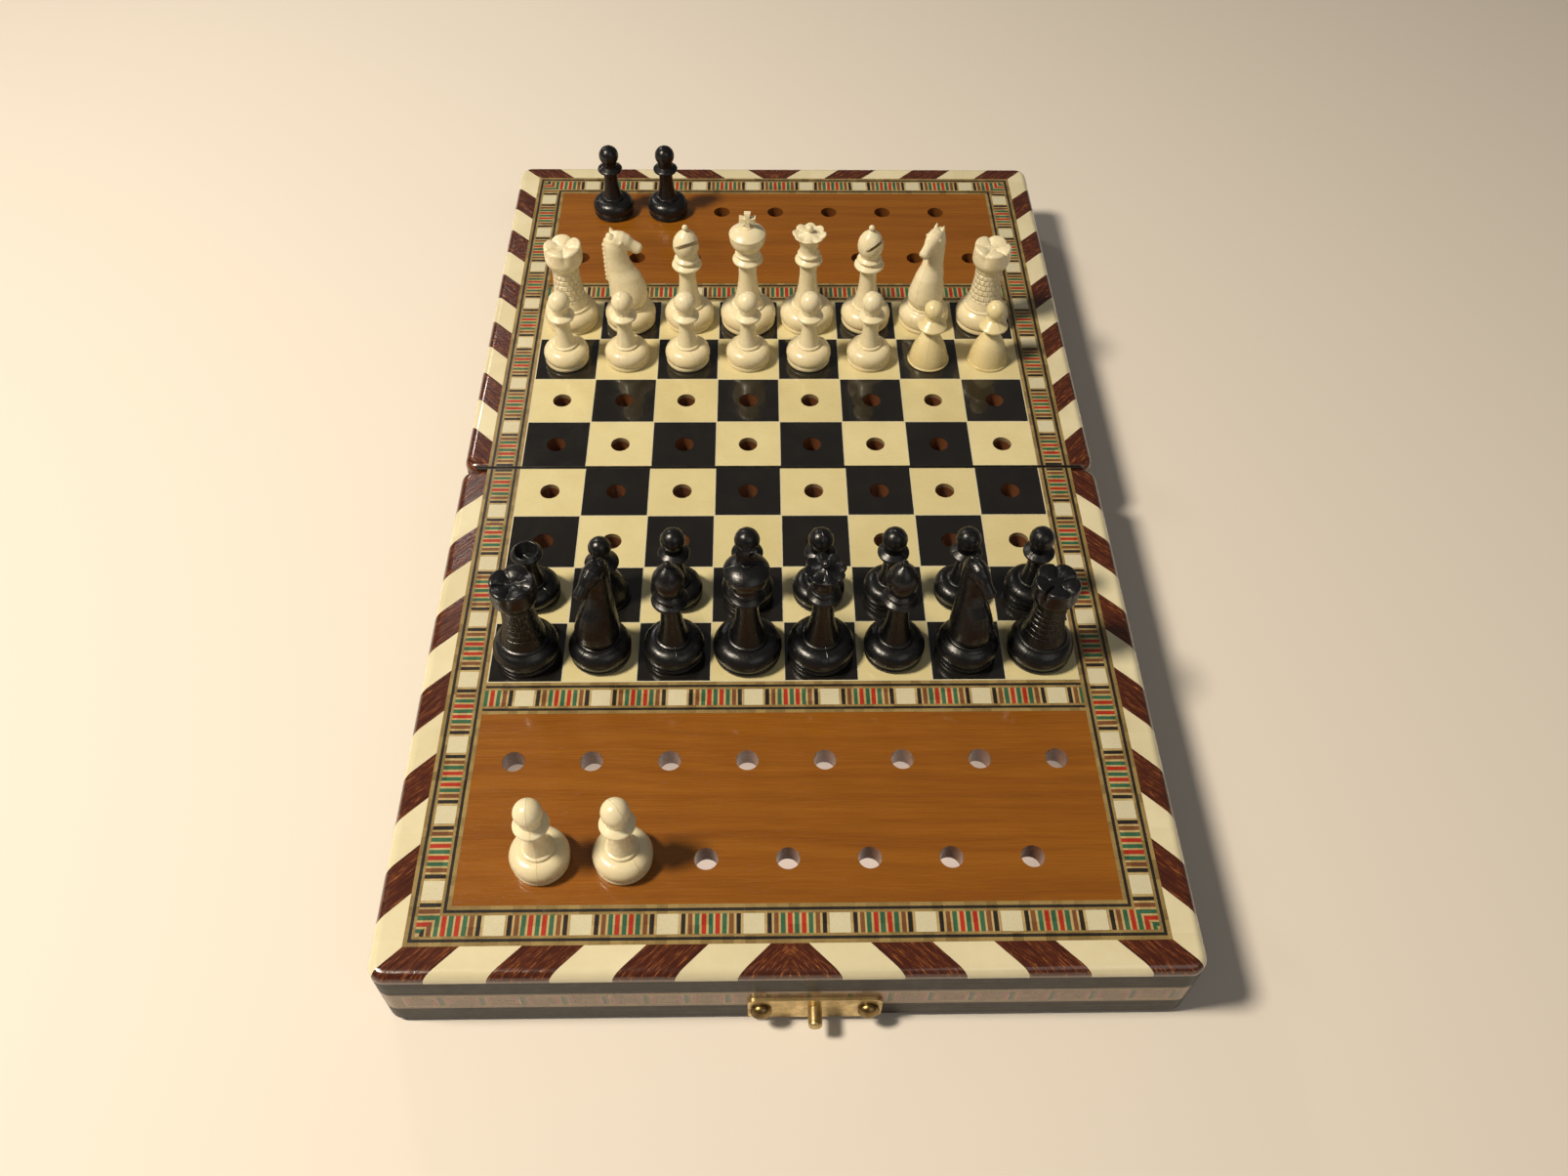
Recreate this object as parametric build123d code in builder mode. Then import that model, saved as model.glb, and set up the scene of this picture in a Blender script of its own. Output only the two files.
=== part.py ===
"""Travel chess set: a folding inlaid case whose two halves make the board, with pegged men.

Millimetres. +X runs to the right along the ranks, +Y away from the player and +Z up.
The origin lies under the middle of the seam, on the table. Each half is drawn on the
far side of the seam, and the near one is its mirror image.
"""

from build123d import *
from math import cos, pi, radians, sin, sqrt
import os

# Board, seen from above
square = 13.0
columns = 8
rows = 4
banding_width = 6.5
border_width = 5.0
tray_length = 35.0
seam_gap = 0.2

# Heights and thicknesses
half_height = 16.0
deck_thickness = 4.0
inlay_thickness = 1.0
border_thickness = 2.0
wall_thickness = 5.0
seam_wall_thickness = 4.4
glue_gap = 0.02

# Rounded outside of a half
corner_round = 2.8
edge_round = 1.6

# Strip let into the outside of the walls
strip_height = 5.3
strip_above_rim = 4.2
strip_depth = 0.6

# Border blocks, with their lengths along the outer edge
end_corner_block = 8.6
end_block = 9.4
end_blocks = 5
side_corner_block = 8.7
side_block = 8.4
side_blocks = 10

# Peg holes and pegs
hole_radius = 1.9
peg_clearance = 0.1
peg_length = 5.5
seat_gap = 0.05
tray_row_inset = 9.4
tray_end_inset = 7.6

# Hinges
knuckle_radius = 1.0
knuckle_length = 5.0
knuckle_end_gap = 0.15
pin_radius = 0.5
pin_clearance = 0.06
leaf_thickness = 0.8
leaf_width = 2.9
barrel_room = 0.2
closing_gap = 0.2
hinge_from_middle = 36.0

# Countersunk nails of the hinge leaves
nail_radius = 0.45
nail_length = 4.0
nail_head = 0.85
nail_inset = 3.2

# Latch plates and their domed nails
latch_x = 4.0
plate_length = 21.0
plate_height = 6.8
plate_thickness = 0.6
plate_above_rim = 0.4
plate_corner = 1.2
plate_nail_spacing = 16.8
plate_nail_radius = 0.6
plate_nail_length = 3.6
plate_nail_head = 1.3
plate_nail_dome = 0.8
plate_nail_slope = 0.48

# Swing hook and what it turns on and catches
latch_reach = 3.6
post_radius = 1.1
post_round = 0.5
rivet_radius = 0.9
rivet_head = 1.7
rivet_head_thickness = 0.8
shoulder_length = 1.1
hook_clearance = 0.1
hook_eye = 2.3
hook_arm = 2.2
hook_jaw = 2.75
hook_jaw_room = 0.25
hook_slot_turn = 40.0
hook_rest_angle = 15.0

# Men, whose drops are measured down from their tops

# Foot of every man: a low rim, a squashed ball and a bead round the stem
foot_rim = 0.3
foot_rim_height = 1.0
foot_widest = 0.55
foot_bead = 0.35
foot_bead_height = 0.6

# Share of a stem's taper that is left a third of the way up
stem_hollow = 0.3

# Collar of the tall men, with a smaller bead above it
collar_slope = 0.8
collar_edge = 0.8
collar_bead = 0.83
collar_bead_z = 1.3
collar_bead_edge = 0.5

# Pawn with a ball on a collar
pawn_height = 17.6
pawn_base = 4.8
pawn_foot_top = 4.2
pawn_foot_neck = 2.2
pawn_stem = 1.6
pawn_collar = 2.82
pawn_collar_drop = 5.8
pawn_collar_edge = 0.6
pawn_neck = 1.7
pawn_ball = 2.27

# Pawn of another mould: a bell, a thin lens and a small ball
cone_pawn_height = 15.4
cone_pawn_base = 4.5
cone_pawn_rim = 0.4
cone_pawn_bell = 3.55
cone_pawn_bell_z = 3.375
cone_pawn_neck = 1.3
cone_pawn_neck_drop = 7.9
cone_pawn_lens = 3.1
cone_pawn_lens_drop = 6.1
cone_pawn_ball = 2.05

# Pawn whose ball has broken off, which leaves a hole in its collar
cup_pawn_height = 12.7
cup_pawn_hole = 2.0
cup_pawn_hole_floor = 0.8
cup_pawn_hole_depth = 2.0

# Rook
rook_height = 20.0
rook_base = 5.85
rook_foot_top = 4.6
rook_foot_neck = 4.0
rook_tower = 2.95
rook_tower_drop = 5.2
rook_crown = 4.05
rook_crown_drop = 3.4
rook_dish = 1.8
rook_dish_depth = 0.6
rook_merlons = 5
rook_groove = 0.75

# Bishop
bishop_height = 24.9
bishop_base = 5.45
bishop_foot_top = 4.5
bishop_foot_neck = 2.8
bishop_stem = 1.85
bishop_collar = 3.2
bishop_collar_drop = 9.8
bishop_neck = 2.0
bishop_neck_drop = 7.2
bishop_head = 2.75
bishop_head_drop = 4.6
bishop_tip = 0.5
bishop_tip_drop = 1.4
bishop_finial = 0.65
bishop_slot = 0.7
bishop_slot_tilt = 50.0

# Queen
queen_height = 24.8
queen_base = 5.95
queen_foot_top = 4.6
queen_foot_neck = 3.1
queen_stem = 1.9
queen_collar = 2.95
queen_collar_drop = 8.4
queen_neck = 1.9
queen_neck_drop = 5.6
queen_crown = 3.6
queen_crown_drop = 1.8
queen_finial = 0.8
queen_points = 8
queen_notch = 0.75
queen_rim = 0.9
queen_hollow = 0.5

# King
king_height = 28.0
king_base = 6.1
king_foot_top = 4.6
king_foot_neck = 3.2
king_stem = 2.0
king_collar = 3.25
king_collar_drop = 11.5
king_neck = 2.3
king_neck_drop = 8.8
king_crown = 3.85
king_crown_drop = 5.2
king_crown_edge = 0.3
king_cap = 0.9
king_cap_drop = 3.6
king_cross_reach = 1.7
king_cross_end = 0.65
king_cross_waist = 0.4
king_cross_thickness = 1.3

# Knight
knight_height = 23.8
knight_base = 5.55
knight_foot_top = 4.6
knight_foot_neck = 3.4
knight_body = 3.9
knight_body_z = 8.3
knight_body_top = 2.1
knight_body_top_z = 15.5
knight_reach = 4.4
knight_thickness = 4.2
knight_taper = 9.0

# Way each knight of a colour faces, from +X, the left one first
knight_facing = {"black": (-125, -60), "white": (0, -150)}

# Places that follow from the sizes
field_x = columns * square / 2
banding_x = field_x + banding_width
half_width = banding_x + border_width
field_y = rows * square
cross_y = field_y + banding_width
tray_y = cross_y + tray_length
banding_y = tray_y + banding_width
half_length = banding_y + border_width
seam_y = seam_gap / 2

pin_z = knuckle_radius
rim_z = pin_z + closing_gap / 2
top_z = rim_z + half_height
deck_z = top_z - deck_thickness
inlay_z = top_z - inlay_thickness
border_z = top_z - border_thickness
strip_z = rim_z + strip_above_rim
men_z = top_z + seat_gap
peg_radius = hole_radius - peg_clearance

# Heights on the men, which follow their tops
pawn_collar_z = pawn_height - pawn_collar_drop
cone_pawn_neck_z = cone_pawn_height - cone_pawn_neck_drop
cone_pawn_lens_z = cone_pawn_height - cone_pawn_lens_drop
rook_tower_z = rook_height - rook_tower_drop
rook_crown_z = rook_height - rook_crown_drop
bishop_collar_z = bishop_height - bishop_collar_drop
bishop_neck_z = bishop_height - bishop_neck_drop
bishop_head_z = bishop_height - bishop_head_drop
bishop_tip_z = bishop_height - bishop_tip_drop
queen_collar_z = queen_height - queen_collar_drop
queen_neck_z = queen_height - queen_neck_drop
queen_crown_z = queen_height - queen_crown_drop
king_collar_z = king_height - king_collar_drop
king_neck_z = king_height - king_neck_drop
king_crown_z = king_height - king_crown_drop
king_cap_z = king_height - king_cap_drop

barrel_cut = knuckle_radius + barrel_room
hinge_length = 3 * knuckle_length + 2 * knuckle_end_gap
plate_z = rim_z + plate_above_rim + plate_height / 2
plate_y = half_length + plate_thickness
hook_reach = 2 * (plate_z - pin_z)
head_y = half_length + latch_reach - rivet_head_thickness
shoulder_y = plate_y + shoulder_length

os.makedirs("parts", exist_ok=True)


def save(part, name):
    """Labels a finished piece and writes it."""
    part.label = name
    export_step(part, f"parts/{name}.step")


def together(pieces):
    """Several separate solids as one group."""
    return Compound([solid for piece in pieces for solid in piece.solids()])


def ring_places(radius, count):
    """Evenly spaced places round the Z axis, each turned to face outwards."""
    return [
        Location((radius * cos(turn), radius * sin(turn), 0), (0, 0, turn * 180 / pi))
        for turn in [2 * pi * i / count for i in range(count)]
    ]


def square_centres(parity):
    """Centres of the squares whose column and row add up to the parity."""
    return [
        ((column + 0.5) * square - field_x, (row + 0.5) * square)
        for column in range(columns)
        for row in range(rows)
        if (column + row) % 2 == parity
    ]


def tray_centres():
    """The tray's peg holes: a full row, and a row between its holes nearer the end."""
    outer_y = cross_y + tray_row_inset
    inner_y = tray_y - tray_end_inset
    full = [((i + 0.5) * square - field_x, outer_y) for i in range(columns)]
    between = [((i + 1) * square - field_x, inner_y) for i in range(columns - 1)]
    return full + between


def hinge_places():
    """Middles of the two hinges along X."""
    return (-hinge_from_middle, hinge_from_middle)


def leaf_nail_places():
    """Nails of the hinge leaves."""
    nail_y = barrel_cut + leaf_width / 2
    reach = hinge_length / 2 - nail_inset
    return [(x + dx, nail_y) for x in hinge_places() for dx in (-reach, reach)]


def plate_nail_places():
    """Nails of a latch plate, as X and Z on the end wall."""
    reach = plate_nail_spacing / 2
    return [(latch_x + dx, plate_z) for dx in (-reach, reach)]


def end_plane(y):
    """An upright plane across the end of the half, with Z up and its normal to the seam."""
    return Plane.XZ.offset(-y)


# Outer form of a half, with rounded corners and top edge
with BuildPart() as envelope:
    with BuildSketch(Plane.XY.offset(rim_z)):
        with Locations((0, (half_length + seam_y) / 2)):
            RectangleRounded(2 * half_width, half_length - seam_y, corner_round)
    extrude(amount=half_height)
    fillet(envelope.faces().sort_by(Axis.Z)[-1].edges(), edge_round)

# Strip of small mosaic round the outside of the walls, from seam to seam
with BuildPart() as edge_strip:
    with BuildSketch(Plane.XY.offset(strip_z)):
        with Locations((0, (half_length + seam_y) / 2)):
            RectangleRounded(2 * half_width, half_length - seam_y, corner_round)
        with Locations((0, (half_length - strip_depth) / 2)):
            Rectangle(
                2 * (half_width - strip_depth),
                half_length - strip_depth,
                mode=Mode.SUBTRACT,
            )
        with Locations((0, corner_round / 2)):
            Rectangle(2 * half_width, corner_round, mode=Mode.SUBTRACT)
    extrude(amount=strip_height)
    with BuildSketch(end_plane(half_length)):
        with Locations(*plate_nail_places()):
            Circle(plate_nail_radius + glue_gap)
    extrude(amount=plate_nail_length, mode=Mode.SUBTRACT)


def wall_blank(outline):
    """A wall from its plan, cut to the rounded outside and grooved for the strip."""
    with BuildPart() as wall:
        with BuildSketch(Plane.XY.offset(rim_z)):
            Polygon(*outline, align=None)
        extrude(amount=border_z - rim_z)
        add(envelope.part, mode=Mode.INTERSECT)
        add(edge_strip.part, mode=Mode.SUBTRACT)
    return wall.part


def seam_wall():
    """The wall at the seam, let out for the hinge leaves, their barrels and nails."""
    leaf_y = barrel_cut + leaf_width + glue_gap
    with BuildPart() as wall:
        with BuildSketch(Plane.XY.offset(rim_z)):
            with Locations((0, seam_y + seam_wall_thickness / 2)):
                Rectangle(2 * (half_width - wall_thickness), seam_wall_thickness)
        extrude(amount=deck_z - rim_z)
        with BuildSketch(Plane.XY.offset(rim_z)):
            with Locations(*[(x, leaf_y / 2) for x in hinge_places()]):
                Rectangle(hinge_length + 2 * glue_gap, leaf_y)
        extrude(amount=leaf_thickness + glue_gap, mode=Mode.SUBTRACT)
        with BuildSketch(Plane.YZ.offset(-hinge_from_middle - hinge_length / 2 - glue_gap)):
            with Locations((0, pin_z)):
                Circle(barrel_cut)
        extrude(amount=hinge_length + 2 * glue_gap, mode=Mode.SUBTRACT)
        with BuildSketch(Plane.YZ.offset(hinge_from_middle - hinge_length / 2 - glue_gap)):
            with Locations((0, pin_z)):
                Circle(barrel_cut)
        extrude(amount=hinge_length + 2 * glue_gap, mode=Mode.SUBTRACT)
        with BuildSketch(Plane.XY.offset(rim_z)):
            with Locations(*leaf_nail_places()):
                Circle(nail_radius + glue_gap)
        extrude(amount=nail_length + glue_gap, mode=Mode.SUBTRACT)
    return wall.part


def rails():
    """The four walls of a half: two sides, the end and the seam wall."""
    inner_x = half_width - wall_thickness
    inner_y = half_length - wall_thickness
    sides = [
        wall_blank(
            [
                (s * half_width, 0),
                (s * half_width, half_length),
                (s * inner_x, inner_y),
                (s * inner_x, 0),
            ]
        )
        for s in (-1, 1)
    ]
    end_outline = [
        (-half_width, half_length),
        (half_width, half_length),
        (inner_x, inner_y),
        (-inner_x, inner_y),
    ]
    with BuildPart() as end_wall:
        add(wall_blank(end_outline))
        with BuildSketch(end_plane(half_length)):
            with Locations(*plate_nail_places()):
                Circle(plate_nail_radius + glue_gap)
        extrude(amount=plate_nail_length, mode=Mode.SUBTRACT)
    return together([*sides, end_wall.part, seam_wall()])


def deck():
    """Wooden panel with the tray's peg holes, open for the field and let in for banding."""
    with BuildPart() as panel:
        with BuildSketch(Plane.XY.offset(deck_z)):
            with Locations((0, (seam_y + banding_y) / 2)):
                Rectangle(2 * banding_x, banding_y - seam_y)
            with Locations((0, field_y / 2)):
                Rectangle(2 * field_x, field_y, mode=Mode.SUBTRACT)
        extrude(amount=deck_thickness)
        with BuildSketch(Plane.XY.offset(inlay_z)):
            with Locations((0, banding_y / 2)):
                Rectangle(2 * banding_x, banding_y)
            with Locations((0, (cross_y + tray_y) / 2)):
                Rectangle(2 * field_x, tray_length, mode=Mode.SUBTRACT)
        extrude(amount=inlay_thickness, mode=Mode.SUBTRACT)
        with BuildSketch(Plane.XY.offset(deck_z)):
            with Locations(*tray_centres()):
                Circle(hole_radius)
        extrude(amount=deck_thickness, mode=Mode.SUBTRACT)
    return panel.part


def field_board(parity):
    """Dark board of the playing field, pocketed for the light squares and drilled."""
    with BuildPart() as board:
        with BuildSketch(Plane.XY.offset(deck_z)):
            with Locations((0, (seam_y + field_y) / 2)):
                Rectangle(2 * field_x, field_y - seam_y)
        extrude(amount=deck_thickness)
        with BuildSketch(Plane.XY.offset(inlay_z)):
            with Locations(*square_centres(parity)):
                Rectangle(square - glue_gap, square - glue_gap)
        extrude(amount=inlay_thickness, mode=Mode.SUBTRACT)
        with BuildSketch(Plane.XY.offset(deck_z)):
            with Locations(*square_centres(0), *square_centres(1)):
                Circle(hole_radius)
        extrude(amount=deck_thickness, mode=Mode.SUBTRACT)
    return board.part


def light_squares(parity):
    """Light squares let into the field, each with its peg hole."""
    side = square - 3 * glue_gap
    with BuildPart() as squares:
        with BuildSketch(Plane.XY.offset(inlay_z)):
            with Locations(*square_centres(parity)):
                Rectangle(side, side)
            with Locations((0, 0)):
                Rectangle(2 * field_x, 2 * (seam_y + glue_gap), mode=Mode.SUBTRACT)
            with Locations(*square_centres(parity)):
                Circle(hole_radius, mode=Mode.SUBTRACT)
        extrude(amount=inlay_thickness)
    return squares.part


def banding():
    """Mosaic banding round the field and the tray, mitred at the outer corners."""
    with BuildPart() as strips:
        with BuildSketch(Plane.XY.offset(inlay_z)):
            for s in (-1, 1):
                Polygon(
                    (s * (field_x + glue_gap), seam_y),
                    (s * (banding_x - glue_gap), seam_y),
                    (s * (banding_x - glue_gap), banding_y - 2 * glue_gap),
                    (s * (field_x + glue_gap), tray_y - 2 * glue_gap),
                    align=None,
                )
            Polygon(
                (-field_x, tray_y),
                (field_x, tray_y),
                (banding_x - 2 * glue_gap, banding_y - glue_gap),
                (2 * glue_gap - banding_x, banding_y - glue_gap),
                align=None,
            )
            with Locations((0, field_y + banding_width / 2)):
                Rectangle(2 * field_x - glue_gap, banding_width - 2 * glue_gap)
        extrude(amount=inlay_thickness)
    return together([strips.part, edge_strip.part])


def block_outlines(colour):
    """Plans of the border blocks of one colour, 0 for mahogany and 1 for bone.

    Each block is cut at 45 degrees, parallel to the mitre of its own corner.
    """
    outlines = []
    end_cuts = [half_width, half_width - end_corner_block]
    end_cuts += [end_cuts[1] - end_block * (i + 1) for i in range(end_blocks)]
    for i, (outer, inner) in enumerate(zip(end_cuts, end_cuts[1:])):
        if i % 2 != colour:
            continue
        outlines += [
            [
                (s * outer, half_length),
                (s * inner, half_length),
                (s * (inner - border_width), banding_y),
                (s * (outer - border_width), banding_y),
            ]
            for s in (-1, 1)
        ]
    if colour == (end_blocks + 1) % 2:
        middle = end_cuts[-1]
        outlines.append(
            [
                (-middle, half_length),
                (middle, half_length),
                (middle - border_width, banding_y),
                (border_width - middle, banding_y),
            ]
        )
    side_cuts = [half_length, half_length - side_corner_block]
    side_cuts += [side_cuts[1] - side_block * (i + 1) for i in range(side_blocks)]
    for i, outer in enumerate(side_cuts):
        if i % 2 == colour:
            continue
        last = i == len(side_cuts) - 1
        inner = 0 if last else side_cuts[i + 1]
        outlines += [
            [
                (s * half_width, outer),
                (s * half_width, inner),
                (s * banding_x, 0 if last else inner - border_width),
                (s * banding_x, outer - border_width),
            ]
            for s in (-1, 1)
        ]
    return outlines


def border_blocks(colour):
    """The blocks of one colour, rounded with the outside of the half."""
    with BuildPart() as blocks:
        with BuildSketch(Plane.XY.offset(border_z)):
            for outline in block_outlines(colour):
                Polygon(*outline, align=None)
        extrude(amount=border_thickness)
        add(envelope.part, mode=Mode.INTERSECT)
    return blocks.part


def hinge_leaves(knuckle_places):
    """Brass leaves let into the rim, with their knuckles over the seam."""
    leaves = []
    for x in hinge_places():
        with BuildPart() as leaf:
            with BuildSketch(Plane.XY.offset(rim_z)):
                with Locations((x, barrel_cut + leaf_width / 2)):
                    Rectangle(hinge_length, leaf_width)
                with Locations(*[(x + dx, barrel_cut / 2) for dx in knuckle_places]):
                    Rectangle(knuckle_length, barrel_cut)
            extrude(amount=leaf_thickness)
            for dx in knuckle_places:
                with BuildSketch(Plane.YZ.offset(x + dx - knuckle_length / 2)):
                    with Locations((0, pin_z)):
                        Circle(knuckle_radius)
                extrude(amount=knuckle_length)
            with BuildSketch(Plane.YZ.offset(x - hinge_length / 2)):
                with Locations((0, pin_z)):
                    Circle(pin_radius + pin_clearance)
            extrude(amount=hinge_length, mode=Mode.SUBTRACT)
            for nail_x, nail_y in leaf_nail_places():
                if abs(nail_x - x) < hinge_length / 2:
                    with Locations((nail_x, nail_y, rim_z + leaf_thickness / 2)):
                        Cone(
                            nail_head + glue_gap,
                            nail_radius + glue_gap,
                            leaf_thickness,
                            mode=Mode.SUBTRACT,
                        )
        leaves.append(leaf.part)
    return together(leaves)


def leaf_nails():
    """Countersunk nails that hold the leaves."""
    nails = []
    for x, y in leaf_nail_places():
        with BuildPart() as nail:
            with Locations((x, y, rim_z + leaf_thickness / 2)):
                Cone(nail_head, nail_radius, leaf_thickness)
            with BuildSketch(Plane.XY.offset(rim_z)):
                with Locations((x, y)):
                    Circle(nail_radius)
            extrude(amount=nail_length)
        nails.append(nail.part)
    return together(nails)


def hinge_pins():
    """Steel pins through the knuckles."""
    pins = []
    for x in hinge_places():
        with BuildPart() as pin:
            with BuildSketch(Plane.YZ.offset(x - hinge_length / 2)):
                with Locations((0, pin_z)):
                    Circle(pin_radius)
            extrude(amount=hinge_length)
        pins.append(pin.part)
    return together(pins)


def latch_plate():
    """Brass plate on the end wall, with nail holes."""
    with BuildPart() as plate:
        with BuildSketch(end_plane(plate_y)):
            with Locations((latch_x, plate_z)):
                RectangleRounded(plate_length, plate_height, plate_corner)
            with Locations(*plate_nail_places()):
                Circle(plate_nail_radius + glue_gap, mode=Mode.SUBTRACT)
        extrude(amount=plate_thickness - glue_gap)
    return plate.part


def catch_plate():
    """Plate of the near half, with the round post that the hook catches."""
    with BuildPart() as plate:
        add(latch_plate())
        with BuildSketch(end_plane(half_length + latch_reach)):
            with Locations((latch_x, plate_z)):
                Circle(post_radius)
        extrude(amount=latch_reach - plate_thickness)
        fillet(plate.faces().sort_by(Axis.Y)[-1].edges(), post_round)
    return plate.part


def hook_plate():
    """Plate of the far half, with the shouldered rivet that the hook turns on."""
    with BuildPart() as plate:
        add(latch_plate())
        with BuildSketch(end_plane(shoulder_y)):
            with Locations((latch_x, plate_z)):
                Circle(rivet_head)
        extrude(amount=shoulder_length)
        with BuildSketch(end_plane(head_y)):
            with Locations((latch_x, plate_z)):
                Circle(rivet_radius)
        extrude(amount=head_y - shoulder_y)
        with BuildSketch(end_plane(half_length + latch_reach)):
            with Locations((latch_x, plate_z)):
                Circle(rivet_head)
        extrude(amount=rivet_head_thickness)
        fillet(plate.faces().sort_by(Axis.Y)[-1].edges(), rivet_head_thickness / 2)
    return plate.part


def plate_nails():
    """Domed nails of a latch plate."""
    nails = []
    for x, z in plate_nail_places():
        with BuildPart() as nail:
            with BuildSketch(end_plane(plate_y)):
                with Locations((x, z)):
                    Circle(plate_nail_radius)
            extrude(amount=plate_thickness + plate_nail_length - glue_gap)
            with BuildSketch(end_plane(plate_y + glue_gap + plate_nail_dome)):
                with Locations((x, z)):
                    Circle(plate_nail_head)
            extrude(amount=plate_nail_dome)
            chamfer(nail.faces().sort_by(Axis.Y)[-1].edges(), plate_nail_slope)
            with BuildSketch(end_plane(plate_y + 2 * glue_gap)):
                with Locations((x, z)):
                    Circle(plate_nail_radius)
            extrude(amount=2 * glue_gap)
        nails.append(nail.part)
    return together(nails)


def hook_plane(y):
    """Upright plane at the rivet, with X along the hook as it hangs on the table."""
    tilt = radians(hook_rest_angle)
    return Plane(
        origin=(latch_x, y, plate_z), x_dir=(cos(tilt), 0, -sin(tilt)), z_dir=(0, -1, 0)
    )


def latch_hook():
    """Swing hook: an eye on the rivet and a jaw whose slot follows its own swing."""
    slot = post_radius + hook_jaw_room
    turn = radians(hook_slot_turn)
    outer, inner = hook_reach + slot, hook_reach - slot
    with BuildPart() as hook:
        with BuildSketch(hook_plane(head_y - hook_clearance)):
            Circle(hook_eye)
            with Locations((hook_reach / 2, 0)):
                Rectangle(hook_reach, hook_arm)
            with Locations((hook_reach, 0)):
                Circle(hook_jaw)
                Circle(slot, mode=Mode.SUBTRACT)
            Circle(rivet_radius + pin_clearance, mode=Mode.SUBTRACT)
        extrude(amount=head_y - shoulder_y - 2 * hook_clearance)
        with BuildSketch(hook_plane(head_y)):
            with BuildLine():
                CenterArc((0, 0), outer, -hook_slot_turn, hook_slot_turn)
                Line((outer, 0), (inner, 0))
                CenterArc((0, 0), inner, 0, -hook_slot_turn)
                Line(
                    (inner * cos(turn), -inner * sin(turn)),
                    (outer * cos(turn), -outer * sin(turn)),
                )
            make_face()
        extrude(amount=head_y - shoulder_y, mode=Mode.SUBTRACT)
    return hook.part


def foot(base, neck, top):
    """Peg, rim, bulge and bead of a man's foot, as outline steps up to where the stem starts."""
    rim = base - foot_rim
    bead = neck + foot_bead
    return [
        (peg_radius, -peg_length),
        (peg_radius, 0),
        (rim, 0),
        (rim, foot_rim_height),
        ((base, foot_widest * top), (bead, top)),
        (bead, top + foot_bead_height),
        (neck, top + foot_bead_height),
    ]


def stem(neck, top, radius, end_z):
    """A stem that draws in from the foot's bead to its radius, as one hollow curve."""
    start_z = top + foot_bead_height
    hollow = (neck - radius) * stem_hollow
    middle = (radius + hollow, (2 * start_z + end_z) / 3)
    return [(middle, (radius, end_z))]


def collar(radius, neck, z):
    """Collar and bead of a tall man, as outline steps up to the neck."""
    bead = collar_bead * radius
    bead_z = z + collar_bead_z
    return [
        (radius, z - collar_edge / 2),
        (radius, z + collar_edge / 2),
        (neck, bead_z - collar_bead_edge / 2),
        (bead, bead_z),
        (bead, bead_z + collar_bead_edge),
        (neck, bead_z + 2 * collar_bead_edge),
    ]


def turned(steps):
    """A solid of revolution from outline steps.

    A point is reached by a line, and a pair of points by an arc through the first.
    """
    start = at = (0, -peg_length)
    with BuildPart() as man:
        with BuildSketch(Plane.XZ):
            with BuildLine():
                for step in steps:
                    if isinstance(step[0], tuple):
                        ThreePointArc(at, *step)
                        at = step[-1]
                    else:
                        Line(at, step)
                        at = step
                Line(at, start)
            make_face()
        revolve(axis=Axis.Z)
    return man.part


def ball(radius, neck, top):
    """A ball on a neck, as outline steps to the top of the man."""
    middle = top - radius
    return [(neck, middle - sqrt(radius**2 - neck**2)), ((radius, middle), (0, top))]


def pawn_body():
    """Foot, stem and collar of a pawn, as outline steps."""
    return [
        *foot(pawn_base, pawn_foot_neck, pawn_foot_top),
        *stem(pawn_foot_neck, pawn_foot_top, pawn_stem, pawn_collar_z - collar_slope),
        (pawn_collar, pawn_collar_z - pawn_collar_edge / 2),
        (pawn_collar, pawn_collar_z + pawn_collar_edge / 2),
    ]


def pawn():
    """Pawn with a ball standing on a collar."""
    neck = (pawn_neck, pawn_collar_z + collar_slope)
    return turned([*pawn_body(), neck, *ball(pawn_ball, pawn_neck, pawn_height)])


def cup_pawn():
    """Pawn that has lost its ball, with the hole that it left in the collar."""
    floor_z = cup_pawn_height - cup_pawn_hole_depth
    hole = [(cup_pawn_hole, cup_pawn_height), (cup_pawn_hole_floor, floor_z), (0, floor_z)]
    return turned([*pawn_body(), *hole])


def cone_pawn():
    """Smoother pawn: a bell on a thin rim, a lens with a sharp edge and a small ball."""
    low_z = cone_pawn_lens_z - cone_pawn_rim / 2
    return turned(
        [
            (peg_radius, -peg_length),
            (peg_radius, 0),
            (cone_pawn_base, 0),
            (cone_pawn_base, cone_pawn_rim),
            ((cone_pawn_bell, cone_pawn_bell_z), (cone_pawn_neck, cone_pawn_neck_z)),
            (cone_pawn_lens, low_z),
            (cone_pawn_lens, low_z + cone_pawn_rim),
            (cone_pawn_neck, 2 * cone_pawn_lens_z - cone_pawn_neck_z),
            *ball(cone_pawn_ball, cone_pawn_neck, cone_pawn_height),
        ]
    )


def rook():
    """Round tower whose crown is grooved into chunky merlons round a shallow dish."""
    floor_z = rook_height - rook_dish_depth
    steps = [
        *foot(rook_base, rook_foot_neck, rook_foot_top),
        *stem(rook_foot_neck, rook_foot_top, rook_tower, rook_tower_z),
        (rook_crown, rook_crown_z),
        (rook_crown, rook_height),
        (rook_dish, rook_height),
        (rook_dish, floor_z),
        (0, floor_z),
    ]
    with BuildPart() as man:
        add(turned(steps))
        with Locations(*ring_places(rook_crown, rook_merlons)):
            with Locations((0, 0, rook_height)):
                Cylinder(
                    rook_groove,
                    2 * rook_crown - rook_dish,
                    rotation=(0, 90, 0),
                    mode=Mode.SUBTRACT,
                )
    return man.part


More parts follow.
